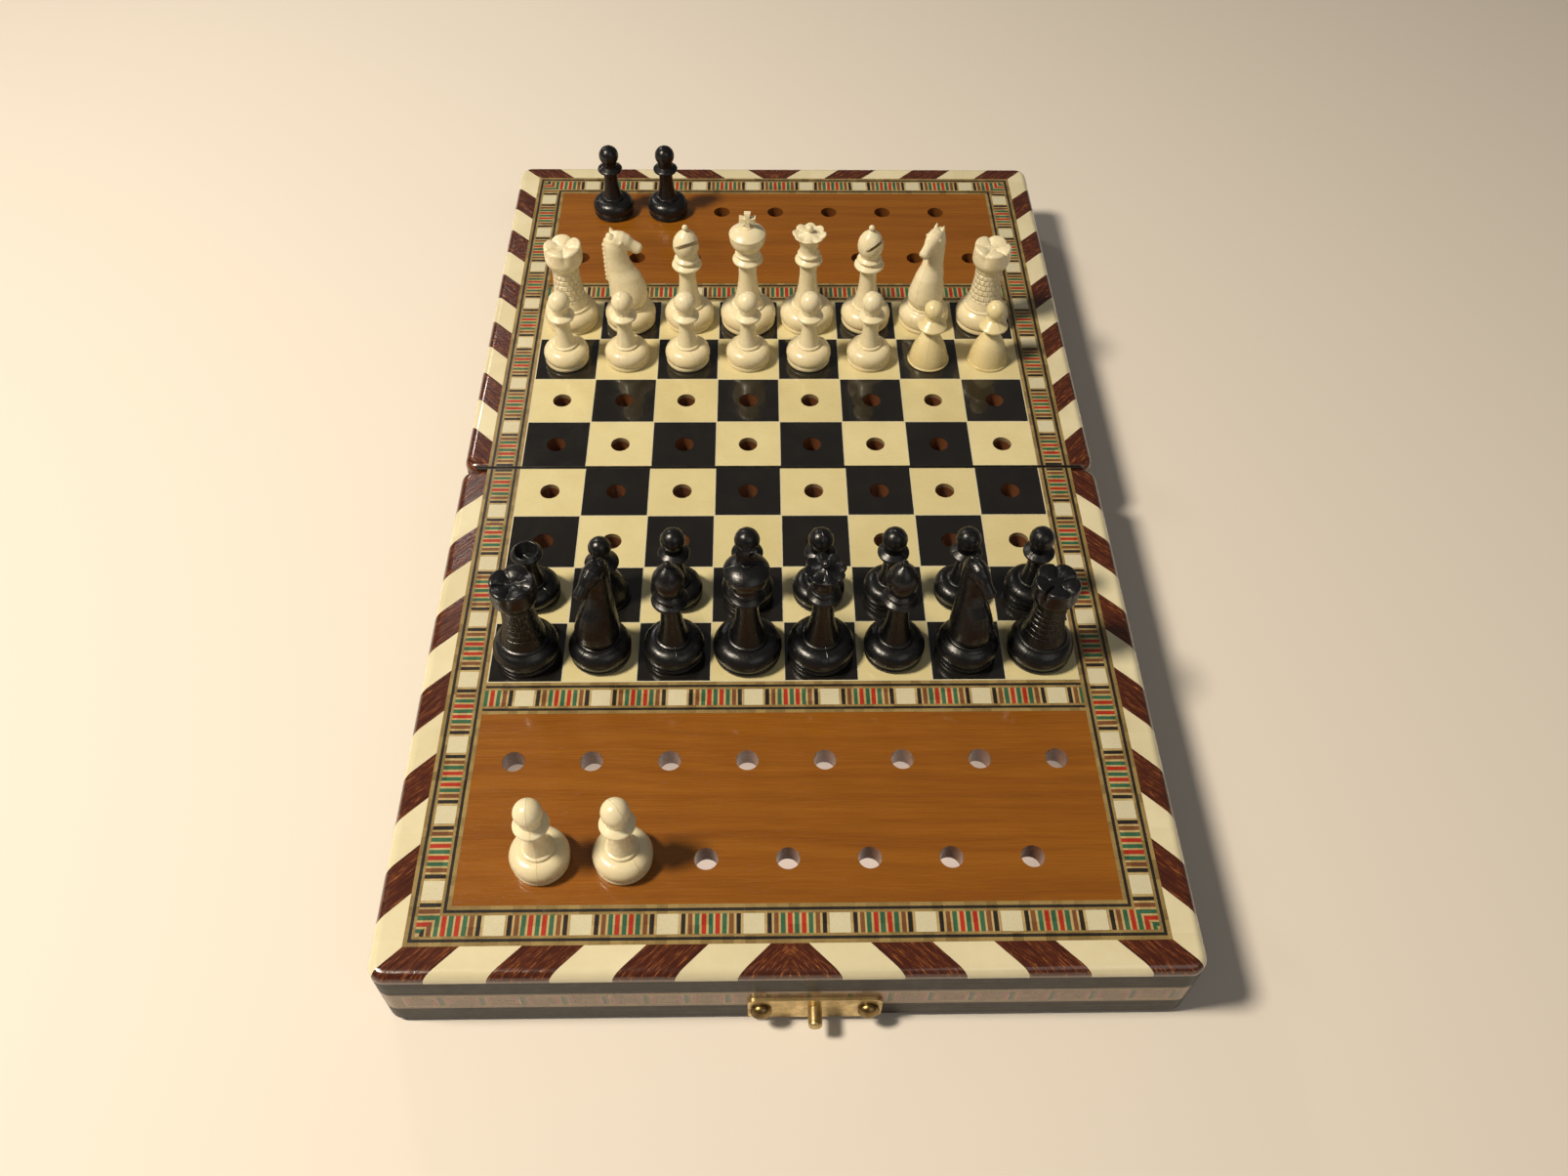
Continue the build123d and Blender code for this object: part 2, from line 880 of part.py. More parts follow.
def bishop():
    """Bishop with a slotted mitre and a small finial."""
    steps = [
        *foot(bishop_base, bishop_foot_neck, bishop_foot_top),
        *stem(bishop_foot_neck, bishop_foot_top, bishop_stem, bishop_collar_z - collar_slope),
        *collar(bishop_collar, bishop_neck, bishop_collar_z),
        (bishop_neck, bishop_neck_z),
        ((bishop_head, bishop_head_z), (bishop_tip, bishop_tip_z)),
        *ball(bishop_finial, bishop_finial / 2, bishop_height),
    ]
    with BuildPart() as man:
        add(turned(steps))
        slot_z = (bishop_head_z + bishop_tip_z) / 2
        with Locations(Location((bishop_head, 0, slot_z), (0, bishop_slot_tilt, 0))):
            Box(bishop_head * 2, bishop_head * 2, bishop_slot, mode=Mode.SUBTRACT)
    return man.part


def queen():
    """Queen whose flared crown is notched into points round a low dome."""
    inner = queen_crown - queen_rim
    flare = ((queen_neck + queen_crown) / 2 - queen_hollow, (queen_neck_z + queen_crown_z) / 2)
    steps = [
        *foot(queen_base, queen_foot_neck, queen_foot_top),
        *stem(queen_foot_neck, queen_foot_top, queen_stem, queen_collar_z - collar_slope),
        *collar(queen_collar, queen_neck, queen_collar_z),
        (queen_neck, queen_neck_z),
        (flare, (queen_crown, queen_crown_z)),
        (inner, queen_crown_z),
        (inner, queen_crown_z - queen_hollow),
        *ball(queen_finial, queen_finial / 2, queen_height),
    ]
    with BuildPart() as man:
        add(turned(steps))
        with Locations(*ring_places(queen_crown, queen_points)):
            with Locations((0, 0, queen_crown_z)):
                Cylinder(queen_notch, 3 * queen_rim, rotation=(0, 90, 0), mode=Mode.SUBTRACT)
    return man.part


def king():
    """King with a bowl of a crown under a low dome and a cross with flared arms."""
    bowl = ((king_neck + 2 * king_crown) / 3, (2 * king_neck_z + king_crown_z) / 3)
    dome = ((king_cap + king_crown) / 2, king_cap_z - king_crown_edge)
    steps = [
        *foot(king_base, king_foot_neck, king_foot_top),
        *stem(king_foot_neck, king_foot_top, king_stem, king_collar_z - collar_slope),
        *collar(king_collar, king_neck, king_collar_z),
        (king_neck, king_neck_z),
        (bowl, (king_crown, king_crown_z)),
        (king_crown, king_crown_z + king_crown_edge),
        (dome, (king_cap, king_cap_z)),
        (0, king_cap_z),
    ]
    reach, flare, waist = king_cross_reach, king_cross_end, king_cross_waist
    middle_z = king_height - reach
    root_z = king_cap_z - king_cap
    with BuildPart() as man:
        add(turned(steps))
        with BuildSketch(Plane.XZ):
            Polygon(
                (-flare, king_height),
                (flare, king_height),
                (waist, middle_z + waist),
                (reach, middle_z + flare),
                (reach, middle_z - flare),
                (waist, middle_z - waist),
                (flare, root_z),
                (-flare, root_z),
                (-waist, middle_z - waist),
                (-reach, middle_z - flare),
                (-reach, middle_z + flare),
                (-waist, middle_z + waist),
                align=None,
            )
        extrude(amount=king_cross_thickness / 2, both=True)
    return man.part


def knight():
    """Horse's head on a long neck over a round body, facing +X, on a turned foot."""
    outline = {
        "chest": (0.80, 0.15),
        "breast": (0.86, 0.29),
        "throat": (0.25, 0.64),
        "jaw": (0.16, 0.69),
        "chin": (0.50, 0.71),
        "lip": (0.62, 0.78),
        "nose": (0.60, 0.84),
        "brow": (0.05, 0.94),
        "ear_root": (-0.28, 0.94),
        "ear_tip": (-0.46, 1.0),
        "nape": (-0.72, 0.95),
        "crest": (-1.0, 0.80),
        "withers": (-0.92, 0.36),
        "back": (-0.78, 0.12),
    }
    low_z = knight_foot_top
    at = [
        (x * knight_reach, low_z + z * (knight_height - low_z)) for x, z in outline.values()
    ]
    steps = [
        *foot(knight_base, knight_foot_neck, knight_foot_top),
        ((knight_body, knight_body_z), (knight_body_top, knight_body_top_z)),
        (0, knight_body_top_z),
    ]
    with BuildPart() as man:
        with BuildSketch(Plane.XZ):
            Polygon(*at, align=None)
        extrude(amount=knight_thickness / 2, both=True, taper=knight_taper)
        add(turned(steps))
    return man.part


outer_knuckles = [-knuckle_length - knuckle_end_gap, knuckle_length + knuckle_end_gap]
for half, parity in (("near", 0), ("far", 1)):
    near = half == "near"
    pieces = {
        "rails": rails(),
        "deck": deck(),
        "field_board": field_board(parity),
        "light_squares": light_squares(parity),
        "mosaic_banding": banding(),
        "bone_blocks": border_blocks(1),
        "mahogany_blocks": border_blocks(0),
        "hinge_leaves": hinge_leaves(outer_knuckles if near else [0]),
        "hinge_nails": leaf_nails(),
        "latch_nails": plate_nails(),
    }
    for name, piece in pieces.items():
        save(piece.mirror(Plane.XZ) if near else piece, f"{half}_{name}")

save(hinge_pins(), "hinge_pins")
save(catch_plate().mirror(Plane.XZ), "catch_plate")
save(hook_plate(), "hook_plate")
save(latch_hook(), "latch_hook")

odd_pawns = {"black": {0: cup_pawn, 1: cone_pawn}, "white": {6: cone_pawn, 7: cone_pawn}}
back_rank = ["rook", "knight", "bishop", "king", "queen", "bishop", "knight", "rook"]
makers = {"rook": rook, "knight": knight, "bishop": bishop, "king": king, "queen": queen}
back_y = (rows - 0.5) * square
pawn_y = back_y - square
spare_y = tray_y - tray_end_inset


def place(man, name, x, y, facing=0):
    """Stands a man over a peg hole and writes it."""
    save(man.moved(Location((x, y, men_z), (0, 0, facing))), name)


for colour, side in (("black", -1), ("white", 1)):
    for column in range(columns):
        x = (column + 0.5) * square - field_x
        kind = back_rank[column]
        twin = back_rank.count(kind) > 1
        number = "" if not twin else "_1" if column < columns / 2 else "_2"
        facing = knight_facing[colour][column // 4] if kind == "knight" else 0
        place(makers[kind](), f"{colour}_{kind}{number}", x, side * back_y, facing)
        mould = odd_pawns[colour].get(column, pawn)
        place(mould(), f"{colour}_pawn_{column + 1}", x, side * pawn_y)

for colour, side in (("white", -1), ("black", 1)):
    for i in range(2):
        x = (i + 1) * square - field_x
        place(pawn(), f"{colour}_spare_pawn_{i + 1}", x, side * spare_y)
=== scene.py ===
"""Looks of the travel chess set: lacquered marquetry case, brass hardware and moulded men.

Lengths are in millimetres where no comment says metres.
"""

from math import atan2, cos, pi, radians, sin, sqrt, tau
import random

import bmesh
import bpy
from mathutils import Matrix, Vector


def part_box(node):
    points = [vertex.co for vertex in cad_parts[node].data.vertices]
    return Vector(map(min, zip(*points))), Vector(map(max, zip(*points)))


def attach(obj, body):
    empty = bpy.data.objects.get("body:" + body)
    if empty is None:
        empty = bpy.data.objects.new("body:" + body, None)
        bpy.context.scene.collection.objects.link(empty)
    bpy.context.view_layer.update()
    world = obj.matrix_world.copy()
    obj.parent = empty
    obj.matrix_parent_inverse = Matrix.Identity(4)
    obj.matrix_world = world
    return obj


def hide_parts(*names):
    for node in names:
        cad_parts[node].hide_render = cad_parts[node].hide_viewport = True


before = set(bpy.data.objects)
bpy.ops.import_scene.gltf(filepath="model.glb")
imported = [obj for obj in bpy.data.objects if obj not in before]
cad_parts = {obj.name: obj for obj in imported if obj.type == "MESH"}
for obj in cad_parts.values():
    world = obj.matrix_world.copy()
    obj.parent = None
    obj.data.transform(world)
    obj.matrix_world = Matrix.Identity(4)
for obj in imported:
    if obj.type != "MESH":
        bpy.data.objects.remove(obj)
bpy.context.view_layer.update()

MM = 0.001

# Depths of the bump on each kind of surface, in metres
MOULDED_RELIEF = 0.00006
LACQUER_RELIEF = 0.00005
VENEER_RELIEF = 0.00003
LACQUER_IOR = 1.5

# Sizes of the marquetry, in millimetres
SQUARE = 13.0
COLUMNS = 8
ROWS_PER_HALF = 4
STRIPE = 0.68
STRIPE_GAP = 0.38
BONE_BLOCK = 3.3
SLIP_CLEARANCE = 0.02
GLUE_LINE = 0.11
SEAM_SHADE_WIDTH = 0.28
INLAY_DEPTH = 0.3
WALL = 4.9
CORNER_ROUND = 2.8

# Places that the frame gives, in millimetres
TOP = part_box("near_field_board")[1].z / MM
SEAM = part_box("far_field_board")[0].y / MM
FIELD_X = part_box("far_field_board")[1].x / MM
FIELD_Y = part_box("far_field_board")[1].y / MM
HALF_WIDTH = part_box("far_rails")[1].x / MM
HALF_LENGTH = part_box("far_rails")[1].y / MM
BANDING_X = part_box("far_deck")[1].x / MM
BANDING_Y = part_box("far_deck")[1].y / MM
BANDING = BANDING_X - FIELD_X
TRAY_Y = BANDING_Y - BANDING


class Wire:
    """A number on its way through a shader; Python's operators add its Math nodes."""

    def __init__(self, finish, socket):
        self.finish = finish
        self.socket = socket

    def math(self, operation, *others):
        values = [self, *others]
        made = self.finish.node("ShaderNodeMath", {"operation": operation}, *values)
        return self.finish.wire(made)

    def __add__(self, other):
        return self.math("ADD", other)

    __radd__ = __add__

    def __mul__(self, other):
        return self.math("MULTIPLY", other)

    __rmul__ = __mul__

    def __sub__(self, other):
        return self.math("SUBTRACT", other)

    def __rsub__(self, other):
        return (self * -1) + other

    def __truediv__(self, other):
        return self.math("DIVIDE", other)

    def __gt__(self, other):
        return self.math("GREATER_THAN", other)

    def __lt__(self, other):
        return self.math("LESS_THAN", other)

    def abs(self):
        return self.math("ABSOLUTE")

    def floor(self):
        return self.math("FLOOR")

    def clamp(self):
        return self.math("MINIMUM", 1.0).math("MAXIMUM", 0.0)


class Finish:
    """One material, with short calls for the nodes that this object's finishes use."""

    def __init__(self, name, **fixed):
        self.material = bpy.data.materials.new(name)
        self.material.use_nodes = True
        self.tree = self.material.node_tree
        self.shader = self.tree.nodes["Principled BSDF"]
        for socket, value in fixed.items():
            self.shader.inputs[socket.replace("_", " ")].default_value = value
        self.place = None

    def node(self, kind, settings=None, *values, **named):
        """A node of a kind: its settings first, then its sockets in order or by name."""
        made = self.tree.nodes.new(kind)
        for key, value in (settings or {}).items():
            if key == "stops":
                ramp = made.color_ramp
                while len(ramp.elements) < len(value):
                    ramp.elements.new(0.5)
                for element, (at, colour) in zip(ramp.elements, value):
                    element.position = at
                    element.color = (*colour, 1.0)
            else:
                setattr(made, key, value)
        inputs = list(zip(made.inputs, values))
        inputs += [(made.inputs[key.replace("_", " ")], value) for key, value in named.items()]
        for socket, value in inputs:
            if isinstance(value, Wire):
                self.tree.links.new(value.socket, socket)
            elif isinstance(value, tuple) and len(value) == 3 and socket.type == "RGBA":
                socket.default_value = (*value, 1.0)
            else:
                socket.default_value = value
        return made

    def wire(self, made, output=0):
        return Wire(self, made.outputs[output])

    def here(self):
        """Object coordinates in millimetres."""
        if self.place is None:
            where = self.wire(self.node("ShaderNodeTexCoord"), "Object")
            self.place = self.scaled(where, (1 / MM,) * 3)
        return self.place

    def own(self):
        """A man's own coordinates in millimetres, from the middle of its foot."""
        return self.wire(self.node("ShaderNodeAttribute", {"attribute_name": "own"}), "Vector")

    def scaled(self, vector, scale, turn=0.0):
        made = self.node(
            "ShaderNodeMapping", None, Vector=vector, Scale=scale, Rotation=(0.0, 0.0, turn)
        )
        return self.wire(made)

    def split(self, vector):
        made = self.node("ShaderNodeSeparateXYZ", None, vector)
        return [self.wire(made, i) for i in range(3)]

    def join(self, x, y, z):
        return self.wire(self.node("ShaderNodeCombineXYZ", None, x, y, z))

    def noise(self, vector, scale, detail=3.0, roughness=0.5):
        made = self.node(
            "ShaderNodeTexNoise",
            None,
            Vector=vector,
            Scale=scale,
            Detail=detail,
            Roughness=roughness,
        )
        return self.wire(made, "Fac")

    def cells(self, vector, scale):
        """A steady random number for each cell of a grid."""
        made = self.node(
            "ShaderNodeTexWhiteNoise", {"noise_dimensions": "3D"}, Vector=self.grid(vector, scale)
        )
        return self.wire(made, "Value")

    def grid(self, vector, scale):
        stepped = self.node(
            "ShaderNodeVectorMath", {"operation": "FLOOR"}, self.scaled(vector, (1 / scale,) * 3)
        )
        return self.wire(stepped)

    def ramp(self, factor, *stops):
        return self.wire(self.node("ShaderNodeValToRGB", {"stops": stops}, factor))

    def mix(self, factor, low, high):
        """A colour between two others."""
        made = self.tree.nodes.new("ShaderNodeMix")
        made.data_type = "RGBA"
        for index, value in ((0, factor), (6, low), (7, high)):
            socket = made.inputs[index]
            if isinstance(value, Wire):
                self.tree.links.new(value.socket, socket)
            elif isinstance(value, tuple):
                socket.default_value = (*value, 1.0)
            else:
                socket.default_value = value
        return Wire(self, made.outputs[2])

    def bump(self, height, distance, strength=1.0):
        made = self.node(
            "ShaderNodeBump", None, Height=height, Distance=distance, Strength=strength
        )
        self.feed("Normal", self.wire(made))

    def in_hole(self, drop):
        """1 where the surface lies more than a drop below the lacquered top, else 0."""
        return TOP - drop - self.split(self.here())[2] > 0

    def feed(self, socket, value):
        self.tree.links.new(value.socket, self.shader.inputs[socket])


def masonry(finish):
    """Courses of small blocks moulded into a rook's tower."""
    x, y, z = finish.split(finish.own())
    course = z / 1.25
    row = course.floor()
    around = y.math("ARCTAN2", x) * 2.6 + row * 0.5
    level = (course - row - 0.5).abs() * 2
    upright = (around - around.floor() - 0.5).abs() * 2
    joint = ((level - 0.6) * 3.5).clamp().math("MAXIMUM", ((upright - 0.74) * 5).clamp())
    return (joint * -1 + 1) * (z > 6.9) * (z < 14.4)


def ivory_plastic(name, pale, deep, blocks=False):
    """Moulded cream plastic with a parting line, mottling and handled sheen."""
    finish = Finish(name, IOR=LACQUER_IOR, Subsurface_Weight=0.12, Subsurface_Scale=0.002)
    finish.shader.inputs["Subsurface Radius"].default_value = (1.0, 0.6, 0.3)
    here = finish.here()
    _, y, z = finish.split(finish.own())
    mottle = finish.noise(here, 0.35, 3.0)
    grime = finish.noise(here, 1.4, 4.0)
    # The colour runs darker towards the foot, fading out 6 mm up.
    low = (1 - z / 6.0).clamp() * 0.45
    finish.feed("Base Color", finish.mix((mottle * 0.7 + low).clamp(), pale, deep))
    finish.feed("Roughness", grime * 0.16 + 0.2)
    parting = (1 - y.abs() / 0.09).clamp() * 0.9
    height = mottle * 1.2 + grime * 0.35 + parting
    finish.bump(height + masonry(finish) * 3.5 if blocks else height, MOULDED_RELIEF)
    return finish.material


def black_plastic(name, blocks=False):
    """Moulded black plastic, worn a little grey on what is handled."""
    finish = Finish(name, IOR=LACQUER_IOR)
    here = finish.here()
    y = finish.split(finish.own())[1]
    mottle = finish.noise(here, 0.45, 3.0)
    grime = finish.noise(here, 2.2, 5.0, 0.65)
    finish.feed("Base Color", finish.mix(grime, (0.0025, 0.0025, 0.003), (0.010, 0.010, 0.011)))
    finish.feed("Roughness", grime * 0.24 + mottle * 0.12 + 0.12)
    parting = (1 - y.abs() / 0.1).clamp() * 0.8
    height = mottle * 1.6 + grime * 0.5 + parting
    finish.bump(height + masonry(finish) * 3.5 if blocks else height, MOULDED_RELIEF)
    return finish.material


def bone_inlay():
    """Cream bone under lacquer: each square has its own tone, clouds and faint pores."""
    finish = Finish("bone_inlay", IOR=LACQUER_IOR, Coat_Roughness=0.06)
    finish.shader.inputs["Coat Weight"].default_value = 0.5
    here = finish.here()
    own_tone = finish.cells(here, SQUARE)
    cloud = finish.noise(here, 0.12, 4.0, 0.6)
    pores = finish.noise(finish.scaled(here, (0.5, 3.0, 1.0)), 1.6, 4.0, 0.7)
    tone = (own_tone * 0.35 + cloud * 0.75 - 0.1).clamp()
    colour = finish.mix(tone, (0.60, 0.51, 0.25), (0.80, 0.72, 0.42))
    specks = (pores > 0.68) * 0.22
    colour = finish.mix(specks, colour, (0.34, 0.24, 0.10))
    sunk = finish.in_hole(0.08) * 0.75
    finish.feed("Base Color", finish.mix(sunk, colour, (0.16, 0.07, 0.03)))
    finish.feed("Roughness", pores * 0.18 + 0.2)
    finish.bump(cloud * 2.0 + pores * 0.15, LACQUER_RELIEF)
    return finish.material


def bone_border():
    """The same bone on the border blocks, with patchy tone and dark marks."""
    finish = Finish("bone_border", IOR=LACQUER_IOR, Coat_Roughness=0.05)
    finish.shader.inputs["Coat Weight"].default_value = 0.6
    here = finish.here()
    own_tone = finish.cells(here, 9.0)
    cloud = finish.noise(here, 0.16, 4.0, 0.6)
    dirt = finish.noise(here, 0.9, 6.0, 0.75)
    tone = (own_tone * 0.3 + cloud * 0.7).clamp()
    colour = finish.mix(tone, (0.62, 0.55, 0.33), (0.84, 0.77, 0.54))
    marks = ((dirt - 0.66) * 6.0).clamp() * 0.6
    finish.feed("Base Color", finish.mix(marks, colour, (0.30, 0.22, 0.12)))
    finish.feed("Roughness", dirt * 0.2 + 0.14)
    finish.bump(cloud * 2.5 + dirt * 0.2, LACQUER_RELIEF)
    return finish.material


def black_inlay():
    """Near-black lacquered squares with fine scratches and dust; the holes show wood."""
    finish = Finish("black_inlay", IOR=LACQUER_IOR, Coat_Roughness=0.04)
    finish.shader.inputs["Coat Weight"].default_value = 0.8
    here = finish.here()
    cloud = finish.noise(here, 0.2, 3.0)
    scratch = finish.noise(finish.scaled(here, (0.25, 6.0, 1.0), 0.6), 0.9, 3.0, 0.6)
    dust = finish.noise(here, 3.5, 6.0, 0.8)
    colour = finish.mix(cloud, (0.006, 0.0055, 0.005), (0.016, 0.014, 0.012))
    specks = ((dust - 0.70) * 8.0).clamp() * 0.35
    colour = finish.mix(specks, colour, (0.10, 0.09, 0.08))
    sunk = finish.in_hole(0.12)
    finish.feed("Base Color", finish.mix(sunk, colour, (0.16, 0.06, 0.025)))
    finish.feed("Roughness", ((scratch - 0.55) * 2.5).clamp() * 0.22 + cloud * 0.1 + 0.1)
    finish.bump(cloud * 2.0 + scratch * 0.25, LACQUER_RELIEF)
    return finish.material


def amber_wood():
    """Orange-brown lacquered panel, grain along the ranks, with flecks and short pores."""
    finish = Finish("amber_wood", IOR=LACQUER_IOR, Coat_Roughness=0.07)
    finish.shader.inputs["Coat Weight"].default_value = 0.55
    here = finish.here()
    warp = finish.noise(finish.scaled(here, (0.012, 0.05, 0.05)), 1.0, 2.0)
    x, y, z = finish.split(here)
    bent = finish.join(x * 0.02, y * 0.55 + warp * 6.0, z * 0.4)
    bands = finish.noise(bent, 0.6, 5.0, 0.62)
    fibre = finish.noise(finish.scaled(here, (0.12, 5.0, 5.0)), 1.2, 4.0, 0.7)
    pores = finish.noise(finish.scaled(here, (0.4, 7.0, 7.0)), 1.3, 2.0, 0.5)
    tone = (bands * 0.6 + fibre * 0.45 - 0.03).clamp()
    colour = finish.ramp(
        tone,
        (0.2, (0.140, 0.040, 0.003)),
        (0.5, (0.255, 0.086, 0.006)),
        (0.85, (0.375, 0.145, 0.012)),
    )
    flecks = ((pores - 0.66) * 9.0).clamp() * 0.4
    colour = finish.mix(flecks, colour, (0.16, 0.045, 0.012))
    sunk = finish.in_hole(0.08) * 0.6
    finish.feed("Base Color", finish.mix(sunk, colour, (0.10, 0.035, 0.018)))
    finish.feed("Roughness", fibre * 0.2 + flecks * 0.2 + 0.16)
    finish.bump(bands * 1.2 + fibre * 0.5 - flecks * 0.6, LACQUER_RELIEF)
    return finish.material


def mahogany():
    """Dark red blocks with bright streaks that run along their slanted cut."""
    finish = Finish("mahogany", IOR=LACQUER_IOR, Coat_Roughness=0.05)
    finish.shader.inputs["Coat Weight"].default_value = 0.6
    here = finish.here()
    x, y, z = finish.split(here)
    along = x.abs() + y.abs()
    across = x.abs() - y.abs()
    block = finish.cells(finish.join(across, 0.0, 0.0), 7.0)
    slant = finish.join(along * 0.12 + block * 9.0, across * 1.6 + block * 40.0, z * 0.8)
    grain = finish.noise(slant, 0.9, 5.0, 0.65)
    streak = finish.noise(finish.join(along * 0.35, across * 6.0, z), 1.0, 3.0, 0.6)
    gleam = ((streak - 0.53) * 9.0).clamp() * ((grain - 0.44) * 6.0).clamp()
    colour = finish.mix((grain * 1.3 - 0.15).clamp(), (0.026, 0.006, 0.003), (0.105, 0.022, 0.008))
    finish.feed("Base Color", finish.mix(gleam * 0.8, colour, (0.52, 0.18, 0.045)))
    finish.feed("Roughness", grain * 0.15 + 0.15)
    finish.bump(grain + streak * 0.4, LACQUER_RELIEF)
    return finish.material


def wall_lacquer():
    """Grey-olive stained sides under lacquer, with a faint level grain."""
    finish = Finish("wall_lacquer", IOR=1.36, Coat_Roughness=0.12)
    finish.shader.inputs["Coat Weight"].default_value = 0.04
    here = finish.here()
    grain = finish.noise(finish.scaled(here, (0.04, 0.04, 1.6)), 1.0, 4.0, 0.6)
    dirt = finish.noise(here, 0.5, 5.0, 0.7)
    colour = finish.mix(grain, (0.018, 0.016, 0.014), (0.044, 0.039, 0.033))
    worn = ((dirt - 0.62) * 6.0).clamp() * 0.3
    colour = finish.mix(worn, colour, (0.22, 0.20, 0.16))
    x, y = finish.split(here)[:2]
    inside = ((x.abs() < HALF_WIDTH - WALL) * (y.abs() < HALF_LENGTH - WALL)).clamp()
    finish.feed("Base Color", finish.mix(inside, colour, (0.30, 0.15, 0.06)))
    finish.feed("Roughness", dirt * 0.25 + 0.34)
    finish.bump(grain * 1.2 + dirt * 0.4, MOULDED_RELIEF)
    return finish.material


def veneer(name, low, high, batches=True):
    """Slips of dyed wood in the mosaic, each batch with its own fibre and tone."""
    finish = Finish(name, IOR=LACQUER_IOR, Coat_Roughness=0.08)
    finish.shader.inputs["Coat Weight"].default_value = 0.4
    here = finish.here()
    tone = finish.cells(here, 1.7) if batches else finish.noise(here, 0.12)
    fibre = finish.noise(finish.scaled(here, (1.2, 1.2, 1.0)), 1.8, 4.0, 0.7)
    finish.feed("Base Color", finish.mix((tone * 0.5 + fibre * 0.6 - 0.05).clamp(), low, high))
    finish.feed("Roughness", fibre * 0.2 + 0.2)
    finish.bump(fibre, VENEER_RELIEF)
    return finish.material


def metal(name, bright, dull, roughness):
    """Old brass or steel, darker where it is tarnished."""
    finish = Finish(name, Metallic=1.0)
    here = finish.here()
    tarnish = finish.noise(here, 0.35, 5.0, 0.7)
    brushed = finish.noise(finish.scaled(here, (0.3, 1.0, 6.0)), 1.5, 3.0, 0.6)
    finish.feed("Base Color", finish.mix(((tarnish - 0.35) * 2.4).clamp(), bright, dull))
    finish.feed("Roughness", tarnish * 0.3 + brushed * 0.12 + roughness)
    finish.bump(brushed * 0.6 + tarnish, VENEER_RELIEF)
    return finish.material


def floor_finish():
    """Plain pale floor of the studio."""
    finish = Finish("floor_finish", Roughness=0.75)
    finish.shader.inputs["Base Color"].default_value = (0.80, 0.74, 0.66, 1.0)
    return finish.material


IVORY = ivory_plastic("ivory_plastic", (0.86, 0.79, 0.57), (0.70, 0.58, 0.33))
IVORY_OLD = ivory_plastic("ivory_plastic_yellowed", (0.82, 0.73, 0.44), (0.66, 0.52, 0.24))
IVORY_ROOK = ivory_plastic("ivory_plastic_blocks", (0.86, 0.79, 0.57), (0.70, 0.58, 0.33), True)
BLACK = black_plastic("black_plastic")
BLACK_ROOK = black_plastic("black_plastic_blocks", True)
BONE = bone_inlay()
BONE_EDGE = bone_border()
EBONY = black_inlay()
AMBER = amber_wood()
MAHOGANY = mahogany()
WALLS = wall_lacquer()
BRASS = metal("brass", (0.80, 0.62, 0.30), (0.22, 0.15, 0.06), 0.16)
BRASS_DARK = metal("brass_tarnished", (0.34, 0.23, 0.09), (0.035, 0.024, 0.012), 0.14)
STEEL = metal("steel", (0.62, 0.61, 0.58), (0.30, 0.28, 0.25), 0.2)
VENEERS = {
    "black": veneer("veneer_black", (0.008, 0.007, 0.006), (0.03, 0.025, 0.02)),
    "brown": veneer("veneer_brown", (0.10, 0.035, 0.012), (0.24, 0.10, 0.035)),
    "green": veneer("veneer_green", (0.012, 0.068, 0.034), (0.050, 0.17, 0.088)),
    "red": veneer("veneer_red", (0.30, 0.014, 0.006), (0.48, 0.038, 0.014)),
    "pale": veneer("veneer_pale", (0.32, 0.21, 0.075), (0.60, 0.47, 0.22)),
    "line": veneer("veneer_line", (0.14, 0.085, 0.026), (0.40, 0.29, 0.11)),
    "bone": veneer("veneer_bone", (0.52, 0.47, 0.31), (0.74, 0.69, 0.49), False),
    "tan": veneer("veneer_tan", (0.13, 0.070, 0.032), (0.24, 0.14, 0.068)),
    "pink": veneer("veneer_pink", (0.22, 0.075, 0.055), (0.34, 0.13, 0.10)),
    "moss": veneer("veneer_moss", (0.035, 0.055, 0.035), (0.07, 0.10, 0.06)),
}


def dress(node, material):
    """Gives a CAD node its finish."""
    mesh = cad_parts[node].data
    mesh.materials.clear()
    mesh.materials.append(material)


for half in ("near", "far"):
    dress(f"{half}_rails", WALLS)
    dress(f"{half}_deck", AMBER)
    dress(f"{half}_field_board", EBONY)
    dress(f"{half}_light_squares", BONE)
    dress(f"{half}_hinge_leaves", BRASS)
    dress(f"{half}_hinge_nails", BRASS)
    dress(f"{half}_latch_nails", BRASS_DARK)
    dress(f"{half}_bone_blocks", BONE_EDGE)
    dress(f"{half}_mahogany_blocks", MAHOGANY)
    dress(f"{half}_mosaic_banding", VENEERS["tan"])
dress("hinge_pins", STEEL)
dress("catch_plate", BRASS)
dress("hook_plate", BRASS)
dress("latch_hook", BRASS)

MEN = [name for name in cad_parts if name.split("_")[0] in ("white", "black")]
HALVES = (("near", -1), ("far", 1))

# Mosaic of the banding, in order along it, after each bone block
PHASE_SIDE = 11.6
PHASE_END = -45.1
PHASE_CROSS = -45.1
STRIPES = ("black", "brown", "green", "red", "green", "red", "green", "brown", "black")
PERIOD = BONE_BLOCK + len(STRIPES) * STRIPE + (len(STRIPES) + 1) * STRIPE_GAP
LINES = (("line", 0.65), ("black", 0.5), ("line", 0.45))
MOSAIC_LOW = sum(width for _, width in LINES)
MOSAIC_HIGH = BANDING - MOSAIC_LOW
SLIVER_DEPTH = 0.4
LINE_SHORTEST = 14
LINE_SPREAD = 16
STRIPE_WOBBLE = 0.1
SLIP_SKEW = 0.06
PROUD = 0.008
PROUD_SPREAD = 0.014


def evaluated(holder):
    """The mesh that an object's modifiers give, as plain data."""
    seen = bpy.context.evaluated_depsgraph_get()
    seen.update()
    return bpy.data.meshes.new_from_object(holder.evaluated_get(seen))


